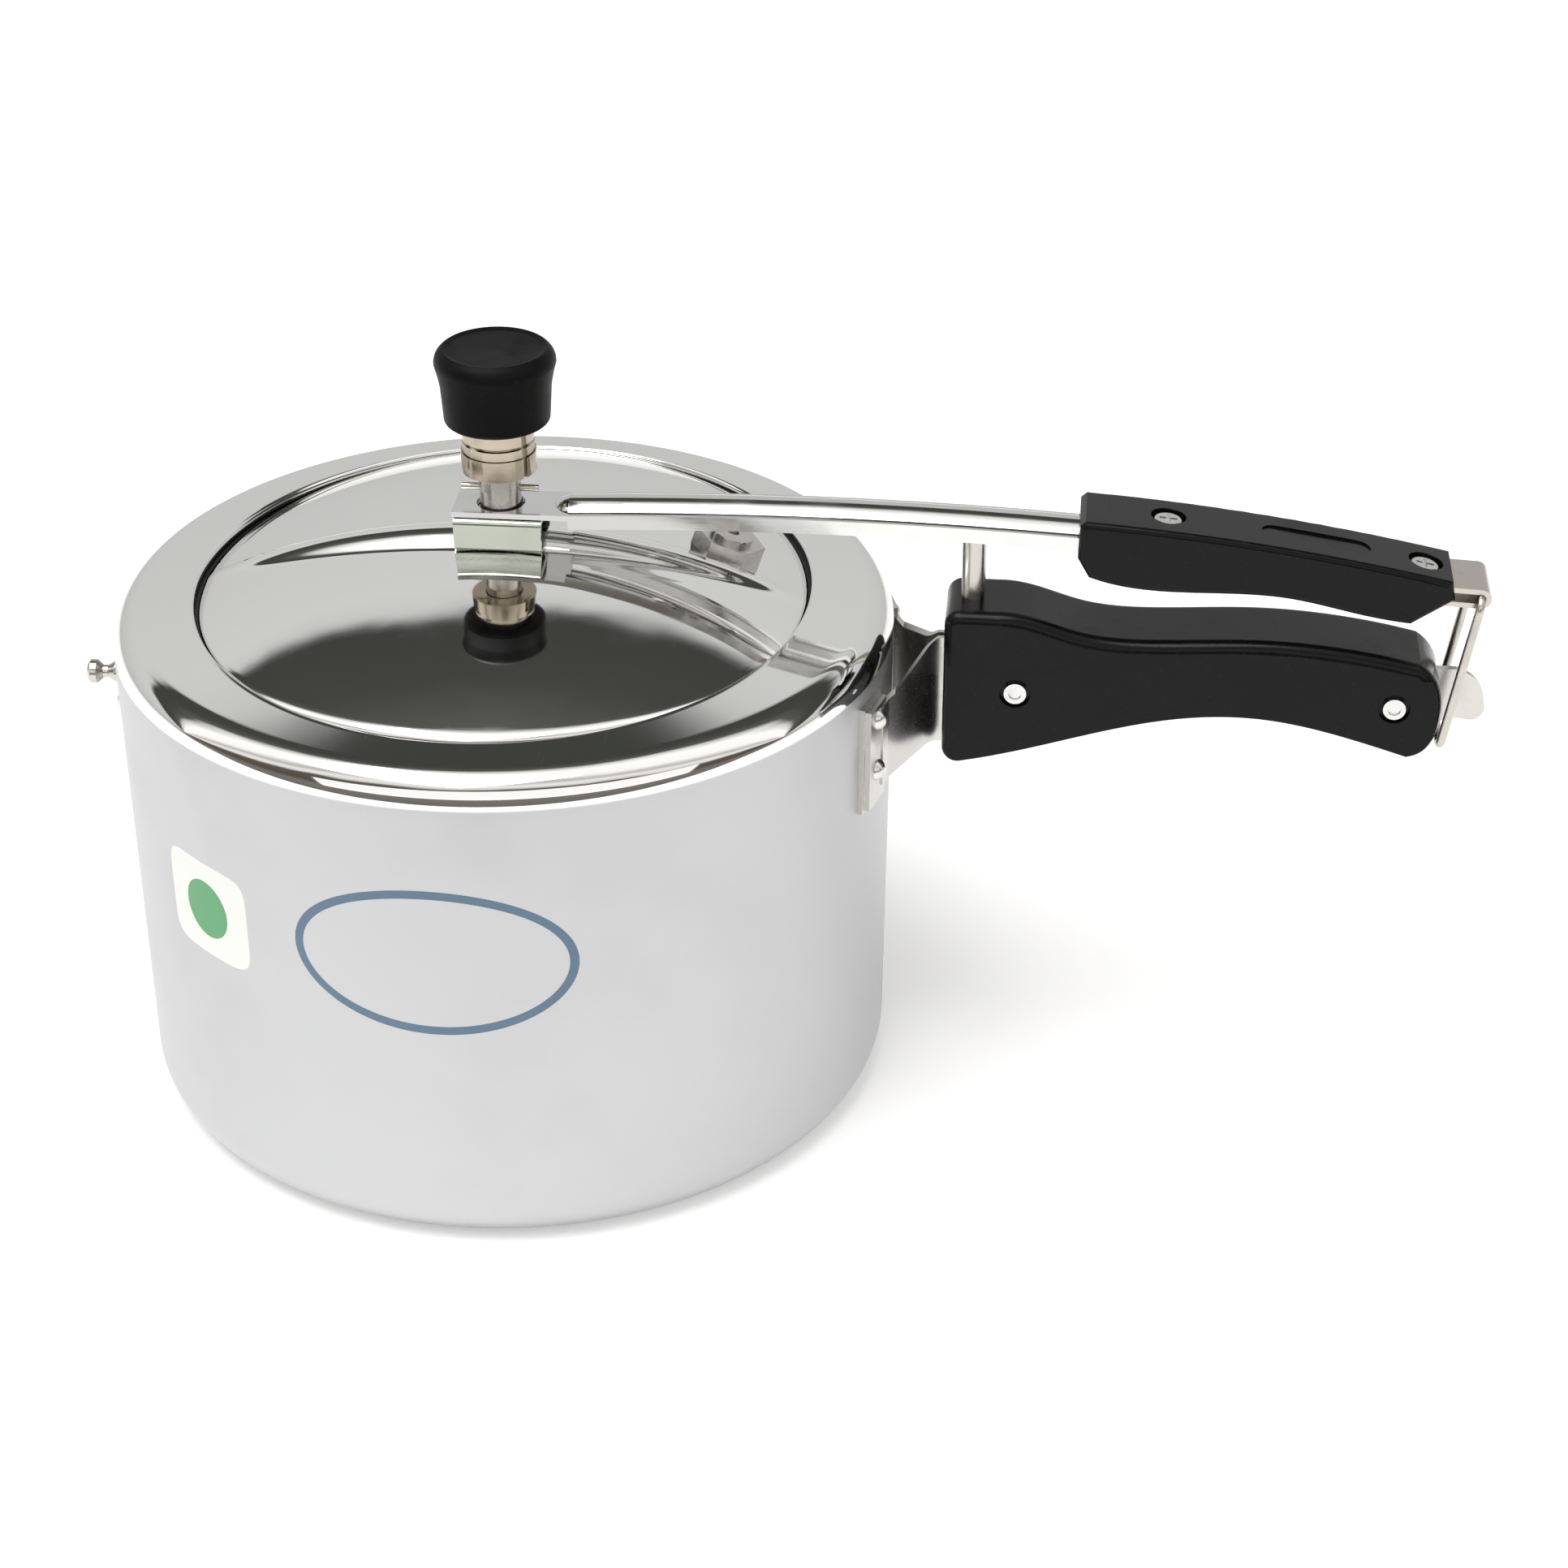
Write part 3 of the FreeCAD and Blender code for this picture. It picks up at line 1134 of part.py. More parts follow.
screw_x = [handle_x + size.screwOneX, handle_end - size.screwTwoInset]
cross_holes = Part.makeCompound([
    Part.makeCylinder(size.sleeveRadius, 60, Vector(x, -30, screw_z), Vector(0, 1, 0)) for x in screw_x
])
pin_foot = screw_z + size.sleeveRadius + 1.5
pin_bore = Part.makeCylinder(size.fulcrumPinRadius, 80, Vector(fulcrum_x, 0, pin_foot))
rivet_holes = Part.makeCompound([
    radial_hole(side * size.flangeAzimuth, z, size.rivetShank) for side in (-1, 1) for z in rivet_levels
])
helper_levels = {
    "stud": seam + size.helperStudRise,
    "rivet": seam + size.helperRivetRise,
}
helper_holes = Part.makeCompound([
    radial_hole(size.helperAzimuth, z, size.rivetShank) for z in helper_levels.values()
])
wings = []
for side in (-1, 1):
    wings.append(bracket_wing(side).cut(rivet_holes).cut(cross_holes).cut(pin_bore))
feature("handle_bracket", Part.makeCompound(wings))
feature("bracket_backing_plates", Part.makeCompound([
    wall_layer(0, size.backingThickness, side * size.flangeAzimuth, size.flangeWidth + 2,
               flange_low - 1, flange_high + 1).cut(rivet_holes)
    for side in (-1, 1)
]))
feature("bracket_rivets", Part.makeCompound([
    rivet(side * size.flangeAzimuth, z, size.backingThickness + size.sheetThickness)
    for side in (-1, 1) for z in rivet_levels
]))

# ---------------------------------------------------------------- catch strip

tab_top = screw_z + 7.8
tab_end = loop_bottom.x + size.catchReach
hook_bottom = loop_bottom.z + size.wireRadius + 0.75
strip_bottom = screw_z - 6
catch_edges = line_xz(
    (handle_x + 2, strip_bottom),
    (handle_x + 2, screw_z + 6),
    (handle_end - 20, screw_z + 6),
    (handle_end - 14, tab_top),
    (handle_end + 4, tab_top),
)
catch_edges += [
    Part.Arc(
        Vector(handle_end + 4, 0, tab_top),
        Vector(tab_end - 3.2, 0, tab_top - 3.0),
        Vector(tab_end, 0, tab_top - 10.5),
    ).toShape(),
    Part.Arc(
        Vector(tab_end, 0, tab_top - 10.5),
        Vector(tab_end - 1.0, 0, hook_bottom + 2.4),
        Vector(tab_end - 4.2, 0, hook_bottom + 1.3),
    ).toShape(),
    Part.Arc(
        Vector(tab_end - 4.2, 0, hook_bottom + 1.3),
        Vector(tab_end - 8.0, 0, hook_bottom + 1.6),
        Vector(handle_end + 1.0, 0, hook_bottom + 0.6),
    ).toShape(),
]
catch_edges += line_xz(
    (handle_end + 1.0, hook_bottom + 0.6),
    (handle_end - 14, hook_bottom + 0.6),
    (handle_end - 20, strip_bottom),
    (handle_x + 2, strip_bottom),
)
catch_face = Part.Face(Part.Wire(catch_edges))
catch_face.translate(Vector(0, -size.catchThickness / 2, 0))
catch_solid = catch_face.extrude(Vector(0, size.catchThickness, 0))
catch_strip = feature("catch_strip", catch_solid.cut(cross_holes).cut(pin_bore))

# ---------------------------------------------------------------- body handle

def along_handle(share):
    """A place along the handle, from its front end (0) to its back end (1)."""
    return handle_x + (handle_end - handle_x) * share


top_points = [
    Vector(along_handle(0.1560), 0, screw_z + 24.3),
    Vector(along_handle(0.2695), 0, screw_z + 19.6),
    Vector(along_handle(0.4255), 0, screw_z + 18.0),
    Vector(along_handle(0.6241), 0, screw_z + 19.2),
    Vector(along_handle(0.8085), 0, screw_z + 17.4),
    Vector(handle_end - 7, 0, screw_z + 13.6),
]
low_points = [
    Vector(handle_end - 9, 0, screw_z - 16.0),
    Vector(along_handle(0.8014), 0, screw_z - 10.2),
    Vector(along_handle(0.6383), 0, screw_z - 5.8),
    Vector(along_handle(0.4681), 0, screw_z - 7.0),
    Vector(along_handle(0.2411), 0, screw_z - 15.6),
    Vector(along_handle(0.0402), 0, screw_z - 23.4),
]


def corner_arc(centre_x, centre_z, first_degrees, last_degrees):
    """A rounded corner of the handle's outline."""
    points = []
    for degrees in (first_degrees, (first_degrees + last_degrees) / 2, last_degrees):
        angle = math.radians(degrees)
        points.append(Vector(
            centre_x + size.handleCorner * math.cos(angle), 0, centre_z + size.handleCorner * math.sin(angle)
        ))
    return Part.Arc(*points).toShape()


corner_x = handle_x + size.handleCorner
nose_centre = screw_z + 25.0 - size.handleCorner
heel_slope = math.radians(15)
heel_centre = low_points[-1].z + size.handleCorner * math.cos(heel_slope)
low_points[-1].x = corner_x + size.handleCorner * math.sin(heel_slope)
handle_edges = [
    corner_arc(corner_x, nose_centre, 180, 90),
    Part.LineSegment(Vector(corner_x, 0, screw_z + 25.0), top_points[0] - Vector(8, 0, -0.6)).toShape(),
    smooth_side([top_points[0] - Vector(8, 0, -0.6)] + top_points),
    smooth_side([
        top_points[-1],
        Vector(handle_end - 1.2, 0, screw_z + 6.5),
        Vector(handle_end - 0.4, 0, screw_z - 4),
        Vector(handle_end - 3.0, 0, screw_z - 12.5),
        low_points[0],
    ]),
    smooth_side(low_points),
    corner_arc(corner_x, heel_centre, 285, 180),
    Part.LineSegment(Vector(handle_x, 0, heel_centre), Vector(handle_x, 0, nose_centre)).toShape(),
]
handle_face = Part.Face(Part.Wire(handle_edges))

# the sides step in below a line that sweeps from the nose up to the top edge
panel_line = [
    Vector(handle_x - 2, 0, screw_z + 9.5),
    Vector(along_handle(0.1844), 0, screw_z + 9.0),
    Vector(along_handle(0.3262), 0, screw_z + 12.2),
    Vector(along_handle(0.4823), 0, screw_z + 15.0),
    Vector(along_handle(0.6809), 0, screw_z + 14.4),
    Vector(handle_end + 6, 0, screw_z + 8.0),
]
panel_face = Part.Face(Part.Wire(
    [smooth_side(panel_line)]
    + line_xz(
        (panel_line[-1].x, panel_line[-1].z),
        (panel_line[-1].x, screw_z - 40),
        (panel_line[0].x, screw_z - 40),
        (panel_line[0].x, panel_line[0].z),
    )
))
clamped = Part.makeCompound([catch_strip.Shape] + wings)


def body_handle(label, side):
    """One moulded half of the handle, on the side that Y's sign names."""
    outer = side * size.handleHalfWidth
    half = handle_face.extrude(Vector(0, outer, 0))
    half = filleted(half, size.handleRound, lambda edge: abs(edge.CenterOfMass.y - outer) < 0.01)
    panel = panel_face.copy()
    panel.translate(Vector(0, side * (size.handleHalfWidth - size.handlePanel), 0))
    half = half.cut(panel.extrude(Vector(0, side * 10, 0)))
    tongue_depth = size.catchThickness / 2 + size.sheetThickness
    tongue_height = tongue_high - tongue_low + 2 * size.handleClearance
    tongue_space = Part.makeBox(
        size.tangLength + size.handleClearance + 6, tongue_depth * 2, tongue_height,
        Vector(handle_x - 6, -tongue_depth, tongue_low - size.handleClearance),
    )
    strip_room = catch_face.extrude(Vector(0, size.catchThickness, 0))
    half = half.cut(tongue_space).cut(strip_room).cut(cross_holes).cut(pin_bore)
    for x in screw_x:
        recess = Part.makeCylinder(
            size.screwRecess, 10, Vector(x, outer - side * size.screwRecessDepth, screw_z), Vector(0, side, 0)
        )
        half = half.cut(recess)
    feature(label, max(half.Solids, key=lambda solid: solid.Volume))


body_handle("body_handle_front", -1)
body_handle("body_handle_back", 1)

# ---------------------------------------------------------------- handle screws and sleeve nuts

SCREW_PLACES = [
    "(potRadius + handleStart + screwOneX)",
    "(potRadius + lidHandleStart + lidHandleLength - handleEndInset - screwTwoInset)",
]
SCREW_Z = "(potSeamHeight + handleAxis)"
BARREL_END = "(handleHalfWidth - screwRecessDepth)"
sleeves = []
screws = []
for number, x in enumerate(SCREW_PLACES, start=1):
    barrel = cylinder("barrel_%d" % number, "sleeveRadius", BARREL_END + " * 2 - 2", x,
                      "-" + BARREL_END, SCREW_Z, along_y)
    sleeve_head = cylinder("sleeve_head_%d" % number, "screwHead", "1.8", x,
                           "-%s - 1.8" % BARREL_END, SCREW_Z, along_y)
    sleeve_solid = fuse("sleeve_solid_%d" % number, [barrel, sleeve_head])
    thread_hole = cylinder("thread_hole_%d" % number, "screwShank", "handleHalfWidth * 4", x,
                           "-handleHalfWidth * 2", SCREW_Z, along_y)
    sleeves.append(cut("sleeve_%d" % number, sleeve_solid, thread_hole))
    shank = cylinder("shank_%d" % number, "screwShank", BARREL_END + " * 2 + 1.2", x,
                     "-%s - 1.2" % BARREL_END, SCREW_Z, along_y)
    screw_cap = cylinder("screw_cap_%d" % number, "screwHead + 0.6", "1.8", x, BARREL_END, SCREW_Z, along_y)
    screw_solid = fuse("screw_solid_%d" % number, [shank, screw_cap])
    slot = doc.addObject("Part::Box", "slot_%d" % number)
    bind(slot, Length="screwHead * 4", Width="2", Height="1")
    place(slot, x + " - screwHead * 2", BARREL_END + " + 0.9", SCREW_Z + " - 0.5")
    screws.append(cut("screw_%d" % number, screw_solid, slot))
compound("handle_nuts", sleeves)
compound("handle_screws", screws)

# ---------------------------------------------------------------- fulcrum pin

eye_height = rivet_height
neck_height = eye_height - size.eyeRadius - 0.6
pin_shape = Part.makeCylinder(size.fulcrumPinRadius, neck_height - pin_foot, Vector(fulcrum_x, 0, pin_foot))
tongue = Part.makeBox(
    size.eyeRadius * 2, size.eyeWidth, eye_height - neck_height + 0.5,
    Vector(fulcrum_x - size.eyeRadius, -size.eyeWidth / 2, neck_height - 0.5),
)
eye = Part.makeCylinder(
    size.eyeRadius, size.eyeWidth, Vector(fulcrum_x, -size.eyeWidth / 2, eye_height), Vector(0, 1, 0)
)
eye_hole = Part.makeCylinder(
    size.rivetRadius + 0.05, size.eyeWidth * 2, Vector(fulcrum_x, -size.eyeWidth, eye_height), Vector(0, 1, 0)
)
feature("fulcrum_pin", pin_shape.fuse([tongue, eye]).cut(eye_hole).removeSplitter())

# ---------------------------------------------------------------- helper plate, rivet and stud

helper_plate = wall_layer(
    0, size.sheetThickness, size.helperAzimuth, size.helperWidth,
    seam + size.helperLow, seam + size.helperHigh,
)
feature("helper_plate", helper_plate.cut(helper_holes))
feature("helper_rivet", rivet(size.helperAzimuth, helper_levels["rivet"], size.sheetThickness))
stud_wall = wall_radius(helper_levels["stud"])
stud_foot = stud_wall + size.sheetThickness
stud_tip = stud_wall + size.studLength
stud_profile = line_xz(
    (0, stud_wall - size.potWall - 1.2),
    (size.rivetHead, stud_wall - size.potWall - 1.2),
    (size.rivetHead, stud_wall - size.potWall),
    (size.rivetShank, stud_wall - size.potWall),
    (size.rivetShank, stud_foot + 0.05),
    (size.studHeadRadius, stud_foot + 0.05),
    (size.studHeadRadius - 0.4, stud_foot + 1.6),
    (size.studNeckRadius, stud_foot + 3.6),
    (size.studNeckRadius, stud_tip - 4.4),
    (size.studHeadRadius - 0.6, stud_tip - 3.4),
    (size.studHeadRadius, stud_tip - 2.6),
    (size.studHeadRadius, stud_tip - 0.8),
    (size.studHeadRadius - 0.8, stud_tip),
    (0, stud_tip),
    (0, stud_wall - size.potWall - 1.2),
)
stud = turned(stud_profile)
stud.rotate(Vector(0, 0, 0), Vector(0, 1, 0), 90)
stud.translate(Vector(0, 0, helper_levels["stud"]))
stud.rotate(Vector(0, 0, 0), Vector(0, 0, 1), size.helperAzimuth)
feature("helper_stud", clear_of_wall(stud, size.helperAzimuth, helper_levels["stud"], size.sheetThickness))

# ---------------------------------------------------------------- rivet holes in the pot

wall_holes = feature("wall_holes", rivet_holes.fuse(helper_holes))
cut("pot_shell", pot_plain, wall_holes)

# ---------------------------------------------------------------- checks and files

NODES = [
    "pot_shell", "handle_bracket", "bracket_backing_plates", "bracket_rivets", "catch_strip",
    "body_handle_front", "body_handle_back", "handle_screws", "handle_nuts", "fulcrum_pin",
    "helper_plate", "helper_rivet", "helper_stud",
    "lever_bar", "fulcrum_rivet", "lid_handle", "lid_handle_screws", "lid_handle_nuts", "latch_strip",
    "locking_loop",
    "lid_dome", "gasket", "lid_saddle", "vent_tube", "vent_nut", "vent_washer", "cross_pin",
    "safety_valve_body", "fusible_plug", "safety_valve_nut", "safety_valve_washer",
    "valve_needle", "weight_body", "spring_ring", "regulator_cap",
]

doc.recompute()
for item in doc.Objects:
    if "Invalid" in item.State or "Error" in item.State:
        raise RuntimeError("%s failed: %s" % (item.Label, item.State))

os.makedirs("parts", exist_ok=True)
for node in NODES:
    item = doc.getObjectsByLabel(node)[0]
    shape = item.Shape
    if shape.isNull() or not shape.isValid():
        raise RuntimeError("%s has no valid shape" % node)
    shape.exportStep("parts/%s.step" % node)
print("wrote %d parts" % len(NODES))
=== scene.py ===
import bpy, bmesh, math
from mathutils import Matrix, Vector


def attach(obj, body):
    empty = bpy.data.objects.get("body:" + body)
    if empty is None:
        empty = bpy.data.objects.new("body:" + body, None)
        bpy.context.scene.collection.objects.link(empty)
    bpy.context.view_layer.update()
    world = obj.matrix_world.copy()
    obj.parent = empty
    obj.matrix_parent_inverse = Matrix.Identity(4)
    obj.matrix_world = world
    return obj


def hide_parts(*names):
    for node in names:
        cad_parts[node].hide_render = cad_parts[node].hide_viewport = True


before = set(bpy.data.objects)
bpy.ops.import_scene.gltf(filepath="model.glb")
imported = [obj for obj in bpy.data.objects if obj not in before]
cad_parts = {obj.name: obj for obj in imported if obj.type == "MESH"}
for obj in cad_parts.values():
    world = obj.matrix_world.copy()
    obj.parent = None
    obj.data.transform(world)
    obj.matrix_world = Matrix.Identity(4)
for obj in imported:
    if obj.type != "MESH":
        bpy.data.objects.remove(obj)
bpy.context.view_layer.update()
print("frame loaded:", len(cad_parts), "nodes")

mm = 0.001

# the camera stands in front of the pot and looks down on the lid
cameraView = {
    "target": (80.6, 0.0, 91.1),  # mm
    "distance": 1040.0,           # mm
    "yaw": -5.0,                  # degrees, the lens stands a little towards the handles
    "rise": 30.0,                 # degrees above the floor
    "lens": 81.06,
    "sensor": 36.0,
}


def placeCamera(view):
    yaw = math.radians(view["yaw"])
    rise = math.radians(view["rise"])
    heading = Vector((math.sin(yaw) * math.cos(rise), math.cos(yaw) * math.cos(rise), -math.sin(rise)))
    lensData = bpy.data.cameras.new("camera")
    lensData.lens = view["lens"]
    lensData.sensor_width = view["sensor"]
    lensData.clip_end = 20.0
    camera = bpy.data.objects.new("camera", lensData)
    bpy.context.collection.objects.link(camera)
    camera.location = (Vector(view["target"]) - heading * view["distance"]) * mm
    camera.rotation_euler = heading.to_track_quat("-Z", "Y").to_euler()
    bpy.context.scene.camera = camera


placeCamera(cameraView)
bpy.context.scene.view_settings.view_transform = "Standard"


# small helpers for node trees

def addNode(tree, kind, **settings):
    item = tree.nodes.new(kind)
    for key, value in settings.items():
        setattr(item, key, value)
    return item


def mathNode(tree, operation, first, second=None, third=None):
    item = addNode(tree, "ShaderNodeMath", operation=operation)
    for socket, value in zip(item.inputs, (first, second, third)):
        if value is None:
            continue
        if isinstance(value, (int, float)):
            socket.default_value = value
        else:
            tree.links.new(value, socket)
    return item.outputs[0]


def rampNode(tree, source, stops):
    item = addNode(tree, "ShaderNodeValToRGB")
    band = item.color_ramp.elements
    while len(band) < len(stops):
        band.new(0.5)
    for element, (place, color) in zip(band, stops):
        element.position = place
        element.color = (*color, 1.0)
    tree.links.new(source, item.inputs[0])
    return item.outputs[0]


def rangeNode(tree, source, low, high, outLow, outHigh):
    item = addNode(tree, "ShaderNodeMapRange", interpolation_type="SMOOTHSTEP")
    for key, value in (("From Min", low), ("From Max", high), ("To Min", outLow), ("To Max", outHigh)):
        if isinstance(value, (int, float)):
            item.inputs[key].default_value = value
        else:
            tree.links.new(value, item.inputs[key])
    tree.links.new(source, item.inputs["Value"])
    return item.outputs[0]


# studio: world light, floor and soft boxes
studio = {
    "floorSide": 2.4, "floorBack": 3.0, "floorFront": -0.62,  # m
    "floorColor": (0.95, 0.95, 0.95, 1.0), "floorGlow": 0.22,
    "warp": 0.035, "warpScale": 3.2,
    # grey of the room by degrees above the back horizon: 90 is overhead, 180 the front horizon
    "roomBands": [
        (0.0, (0.60, 0.60, 0.59)),
        (36.0, (0.70, 0.70, 0.69)),
        (40.5, (0.66, 0.66, 0.65)),
        (44.0, (0.055, 0.058, 0.052)),
        (58.0, (0.065, 0.066, 0.060)),
        (69.0, (0.11, 0.11, 0.10)),
        (74.0, (0.70, 0.69, 0.67)),
        (84.0, (1.20, 1.19, 1.15)),
        (104.0, (1.15, 1.13, 1.10)),
        (116.0, (0.55, 0.53, 0.50)),
        (126.0, (1.00, 0.98, 0.95)),
        (134.0, (0.80, 0.78, 0.75)),
        (139.0, (0.13, 0.11, 0.09)),
        (160.0, (0.10, 0.085, 0.07)),
        (176.0, (0.22, 0.20, 0.18)),
        (200.0, (0.16, 0.15, 0.14)),
        (300.0, (0.30, 0.30, 0.30)),
        (360.0, (0.60, 0.60, 0.59)),
    ],
}


def buildWorld(values):
    world = bpy.data.worlds.new("studioRoom")
    bpy.context.scene.world = world
    world.use_nodes = True
    tree = world.node_tree
    tree.nodes.clear()
    coords = addNode(tree, "ShaderNodeTexCoord")
    split = addNode(tree, "ShaderNodeSeparateXYZ")
    tree.links.new(coords.outputs["Generated"], split.inputs[0])
    turn = mathNode(tree, "ARCTAN2", split.outputs["Z"], split.outputs["Y"])
    cloud = addNode(tree, "ShaderNodeTexNoise")
    cloud.inputs["Scale"].default_value = values["warpScale"]
    cloud.inputs["Detail"].default_value = 3.0
    tree.links.new(coords.outputs["Generated"], cloud.inputs["Vector"])
    wander = mathNode(tree, "MULTIPLY_ADD", cloud.outputs["Fac"], values["warp"], -values["warp"] / 2)
    share = mathNode(tree, "FRACT", mathNode(tree, "MULTIPLY_ADD", turn, 0.5 / math.pi, wander))
    bands = rampNode(tree, share, [(degrees / 360, color) for degrees, color in values["roomBands"]])
    rays = addNode(tree, "ShaderNodeLightPath")
    room = addNode(tree, "ShaderNodeBackground")
    backdrop = addNode(tree, "ShaderNodeBackground")
    backdrop.inputs["Color"].default_value = (1.0, 1.0, 1.0, 1.0)
    tree.links.new(bands, room.inputs["Color"])
    mix = addNode(tree, "ShaderNodeMixShader")
    tree.links.new(rays.outputs["Is Camera Ray"], mix.inputs[0])
    tree.links.new(room.outputs[0], mix.inputs[1])
    tree.links.new(backdrop.outputs[0], mix.inputs[2])
    out = addNode(tree, "ShaderNodeOutputWorld")
    tree.links.new(mix.outputs[0], out.inputs["Surface"])


# places and sizes in m, power in W
softBoxes = {
    "overheadBox": {
        "place": (-0.4, -0.5, 1.9), "aim": (0.05, 0.0, 0.05), "width": 1.6, "height": 1.2, "power": 26.0,
    },
    "frontFill": {
        "place": (0.3, -1.9, 0.9), "aim": (0.05, 0.0, 0.08), "width": 5.0, "height": 1.0, "power": 16.5,
    },
}


def hangSoftBox(name, values):
    lampData = bpy.data.lights.new(name, "AREA")
    lampData.shape = "RECTANGLE"
    lampData.size = values["width"]
    lampData.size_y = values["height"]
    lampData.energy = values["power"]
    lamp = bpy.data.objects.new(name, lampData)
    bpy.context.collection.objects.link(lamp)
    lamp.location = values["place"]
    heading = Vector(values["aim"]) - Vector(values["place"])
    lamp.rotation_euler = heading.to_track_quat("-Z", "Y").to_euler()


def buildFloor(values):
    mesh = bpy.data.meshes.new("studioFloor")
    form = bmesh.new()
    side, back, front = values["floorSide"], values["floorBack"], values["floorFront"]
    form.faces.new([form.verts.new(place) for place in (
        (-side, front, 0.0), (side, front, 0.0), (side, back, 0.0), (-side, back, 0.0)
    )])
    form.to_mesh(mesh)
    form.free()
    floor = bpy.data.objects.new("studioFloor", mesh)
    bpy.context.collection.objects.link(floor)
    paint = bpy.data.materials.new("paleFloor")
    paint.use_nodes = True
    shader = paint.node_tree.nodes["Principled BSDF"]
    shader.inputs["Base Color"].default_value = values["floorColor"]
    shader.inputs["Roughness"].default_value = 0.9
    shader.inputs["Specular IOR Level"].default_value = 0.1
    shader.inputs["Emission Color"].default_value = (1.0, 1.0, 1.0, 1.0)
    shader.inputs["Emission Strength"].default_value = values["floorGlow"]
    mesh.materials.append(paint)


buildWorld(studio)
buildFloor(studio)
for boxName, box in softBoxes.items():
    hangSoftBox(boxName, box)
print("studio ready")


# shared effects as node groups

def newGroup(name, inputs, outputs):
    group = bpy.data.node_groups.new(name, "ShaderNodeTree")
    for label, kind, value in inputs:
        socket = group.interface.new_socket(name=label, in_out="INPUT", socket_type=kind)
        if value is not None:
            socket.default_value = value
    for label, kind in outputs:
        group.interface.new_socket(name=label, in_out="OUTPUT", socket_type=kind)
    start = addNode(group, "NodeGroupInput")
    end = addNode(group, "NodeGroupOutput")
    return group, start, end


def noiseNode(tree, coords, scale, detail=3.0, roughness=0.55):
    item = addNode(tree, "ShaderNodeTexNoise")
    item.inputs["Detail"].default_value = detail
    item.inputs["Roughness"].default_value = roughness
    if isinstance(scale, (int, float)):
        item.inputs["Scale"].default_value = scale
    else:
        tree.links.new(scale, item.inputs["Scale"])
    tree.links.new(coords, item.inputs["Vector"])
    return item.outputs["Fac"]


def stretched(tree, coords, scale):
    item = addNode(tree, "ShaderNodeMapping")
    item.inputs["Scale"].default_value = scale
    tree.links.new(coords, item.inputs["Vector"])
    return item.outputs[0]


def buildSmudges():
    # cloudy patches, from 0 to Amount
    group, start, end = newGroup(
        "smudges",
        [("Coords", "NodeSocketVector", None), ("Scale", "NodeSocketFloat", 30.0),
         ("Amount", "NodeSocketFloat", 0.1)],
        [("Mask", "NodeSocketFloat")],
    )
    cloud = noiseNode(group, start.outputs["Coords"], start.outputs["Scale"], 4.0, 0.6)
    patch = rangeNode(group, cloud, 0.45, 0.72, 0.0, 1.0)
    group.links.new(mathNode(group, "MULTIPLY", patch, start.outputs["Amount"]), end.inputs["Mask"])
    return group


def buildScratches():
    # hairline scratches in three directions, from 0 to 1
    group, start, end = newGroup(
        "scratches",
        [("Coords", "NodeSocketVector", None), ("Fineness", "NodeSocketFloat", 1.0)],
        [("Mask", "NodeSocketFloat")],
    )
    total = None
    for turn, spread in ((0.3, 1.0), (1.35, 1.3), (2.4, 0.8)):
        mapping = addNode(group, "ShaderNodeMapping")
        mapping.inputs["Rotation"].default_value = (0.0, 0.4, turn)
        mapping.inputs["Scale"].default_value = (1500.0 * spread, 26.0, 400.0)
        group.links.new(start.outputs["Coords"], mapping.inputs["Vector"])
        lines = noiseNode(group, mapping.outputs[0], start.outputs["Fineness"], 2.0, 0.5)
        hair = rangeNode(group, lines, 0.70, 0.76, 0.0, 1.0)
        total = hair if total is None else mathNode(group, "MAXIMUM", total, hair)
    group.links.new(total, end.inputs["Mask"])
    return group


def buildTurning():
    # fine rings left by turning and polishing about the upright axis
    group, start, end = newGroup(
        "turningLines",
        [("Coords", "NodeSocketVector", None), ("Density", "NodeSocketFloat", 900.0)],
        [("Lines", "NodeSocketFloat")],
    )
    split = addNode(group, "ShaderNodeSeparateXYZ")
    group.links.new(start.outputs["Coords"], split.inputs[0])
    radius = mathNode(group, "SQRT", mathNode(
        group, "ADD",
        mathNode(group, "MULTIPLY", split.outputs["X"], split.outputs["X"]),
        mathNode(group, "MULTIPLY", split.outputs["Y"], split.outputs["Y"]),
    ))
    along = mathNode(group, "ARCTAN2", split.outputs["Y"], split.outputs["X"])
    merge = addNode(group, "ShaderNodeCombineXYZ")
    group.links.new(mathNode(group, "MULTIPLY", radius, start.outputs["Density"]), merge.inputs["X"])
    group.links.new(mathNode(group, "MULTIPLY", along, 0.6), merge.inputs["Y"])
    level = mathNode(group, "MULTIPLY", split.outputs["Z"], start.outputs["Density"])
    group.links.new(level, merge.inputs["Z"])
    group.links.new(noiseNode(group, merge.outputs[0], 1.0, 3.0, 0.7), end.inputs["Lines"])
    return group


smudges = buildSmudges()
scratches = buildScratches()
turningLines = buildTurning()


def useGroup(tree, group, coords, **values):
    item = addNode(tree, "ShaderNodeGroup", node_tree=group)
    tree.links.new(coords, item.inputs["Coords"])
    for key, value in values.items():
        item.inputs[key].default_value = value
    return item.outputs[0]


def newMaterial(name, color, metallic, roughness, **sockets):
    paint = bpy.data.materials.new(name)
    paint.use_nodes = True
    tree = paint.node_tree
    shader = tree.nodes["Principled BSDF"]
    shader.inputs["Base Color"].default_value = (*color, 1.0)
    shader.inputs["Metallic"].default_value = metallic
    shader.inputs["Roughness"].default_value = roughness
    for key, value in sockets.items():
        shader.inputs[key.replace("_", " ")].default_value = value
    coords = addNode(tree, "ShaderNodeTexCoord").outputs["Object"]
    return paint, tree, shader, coords


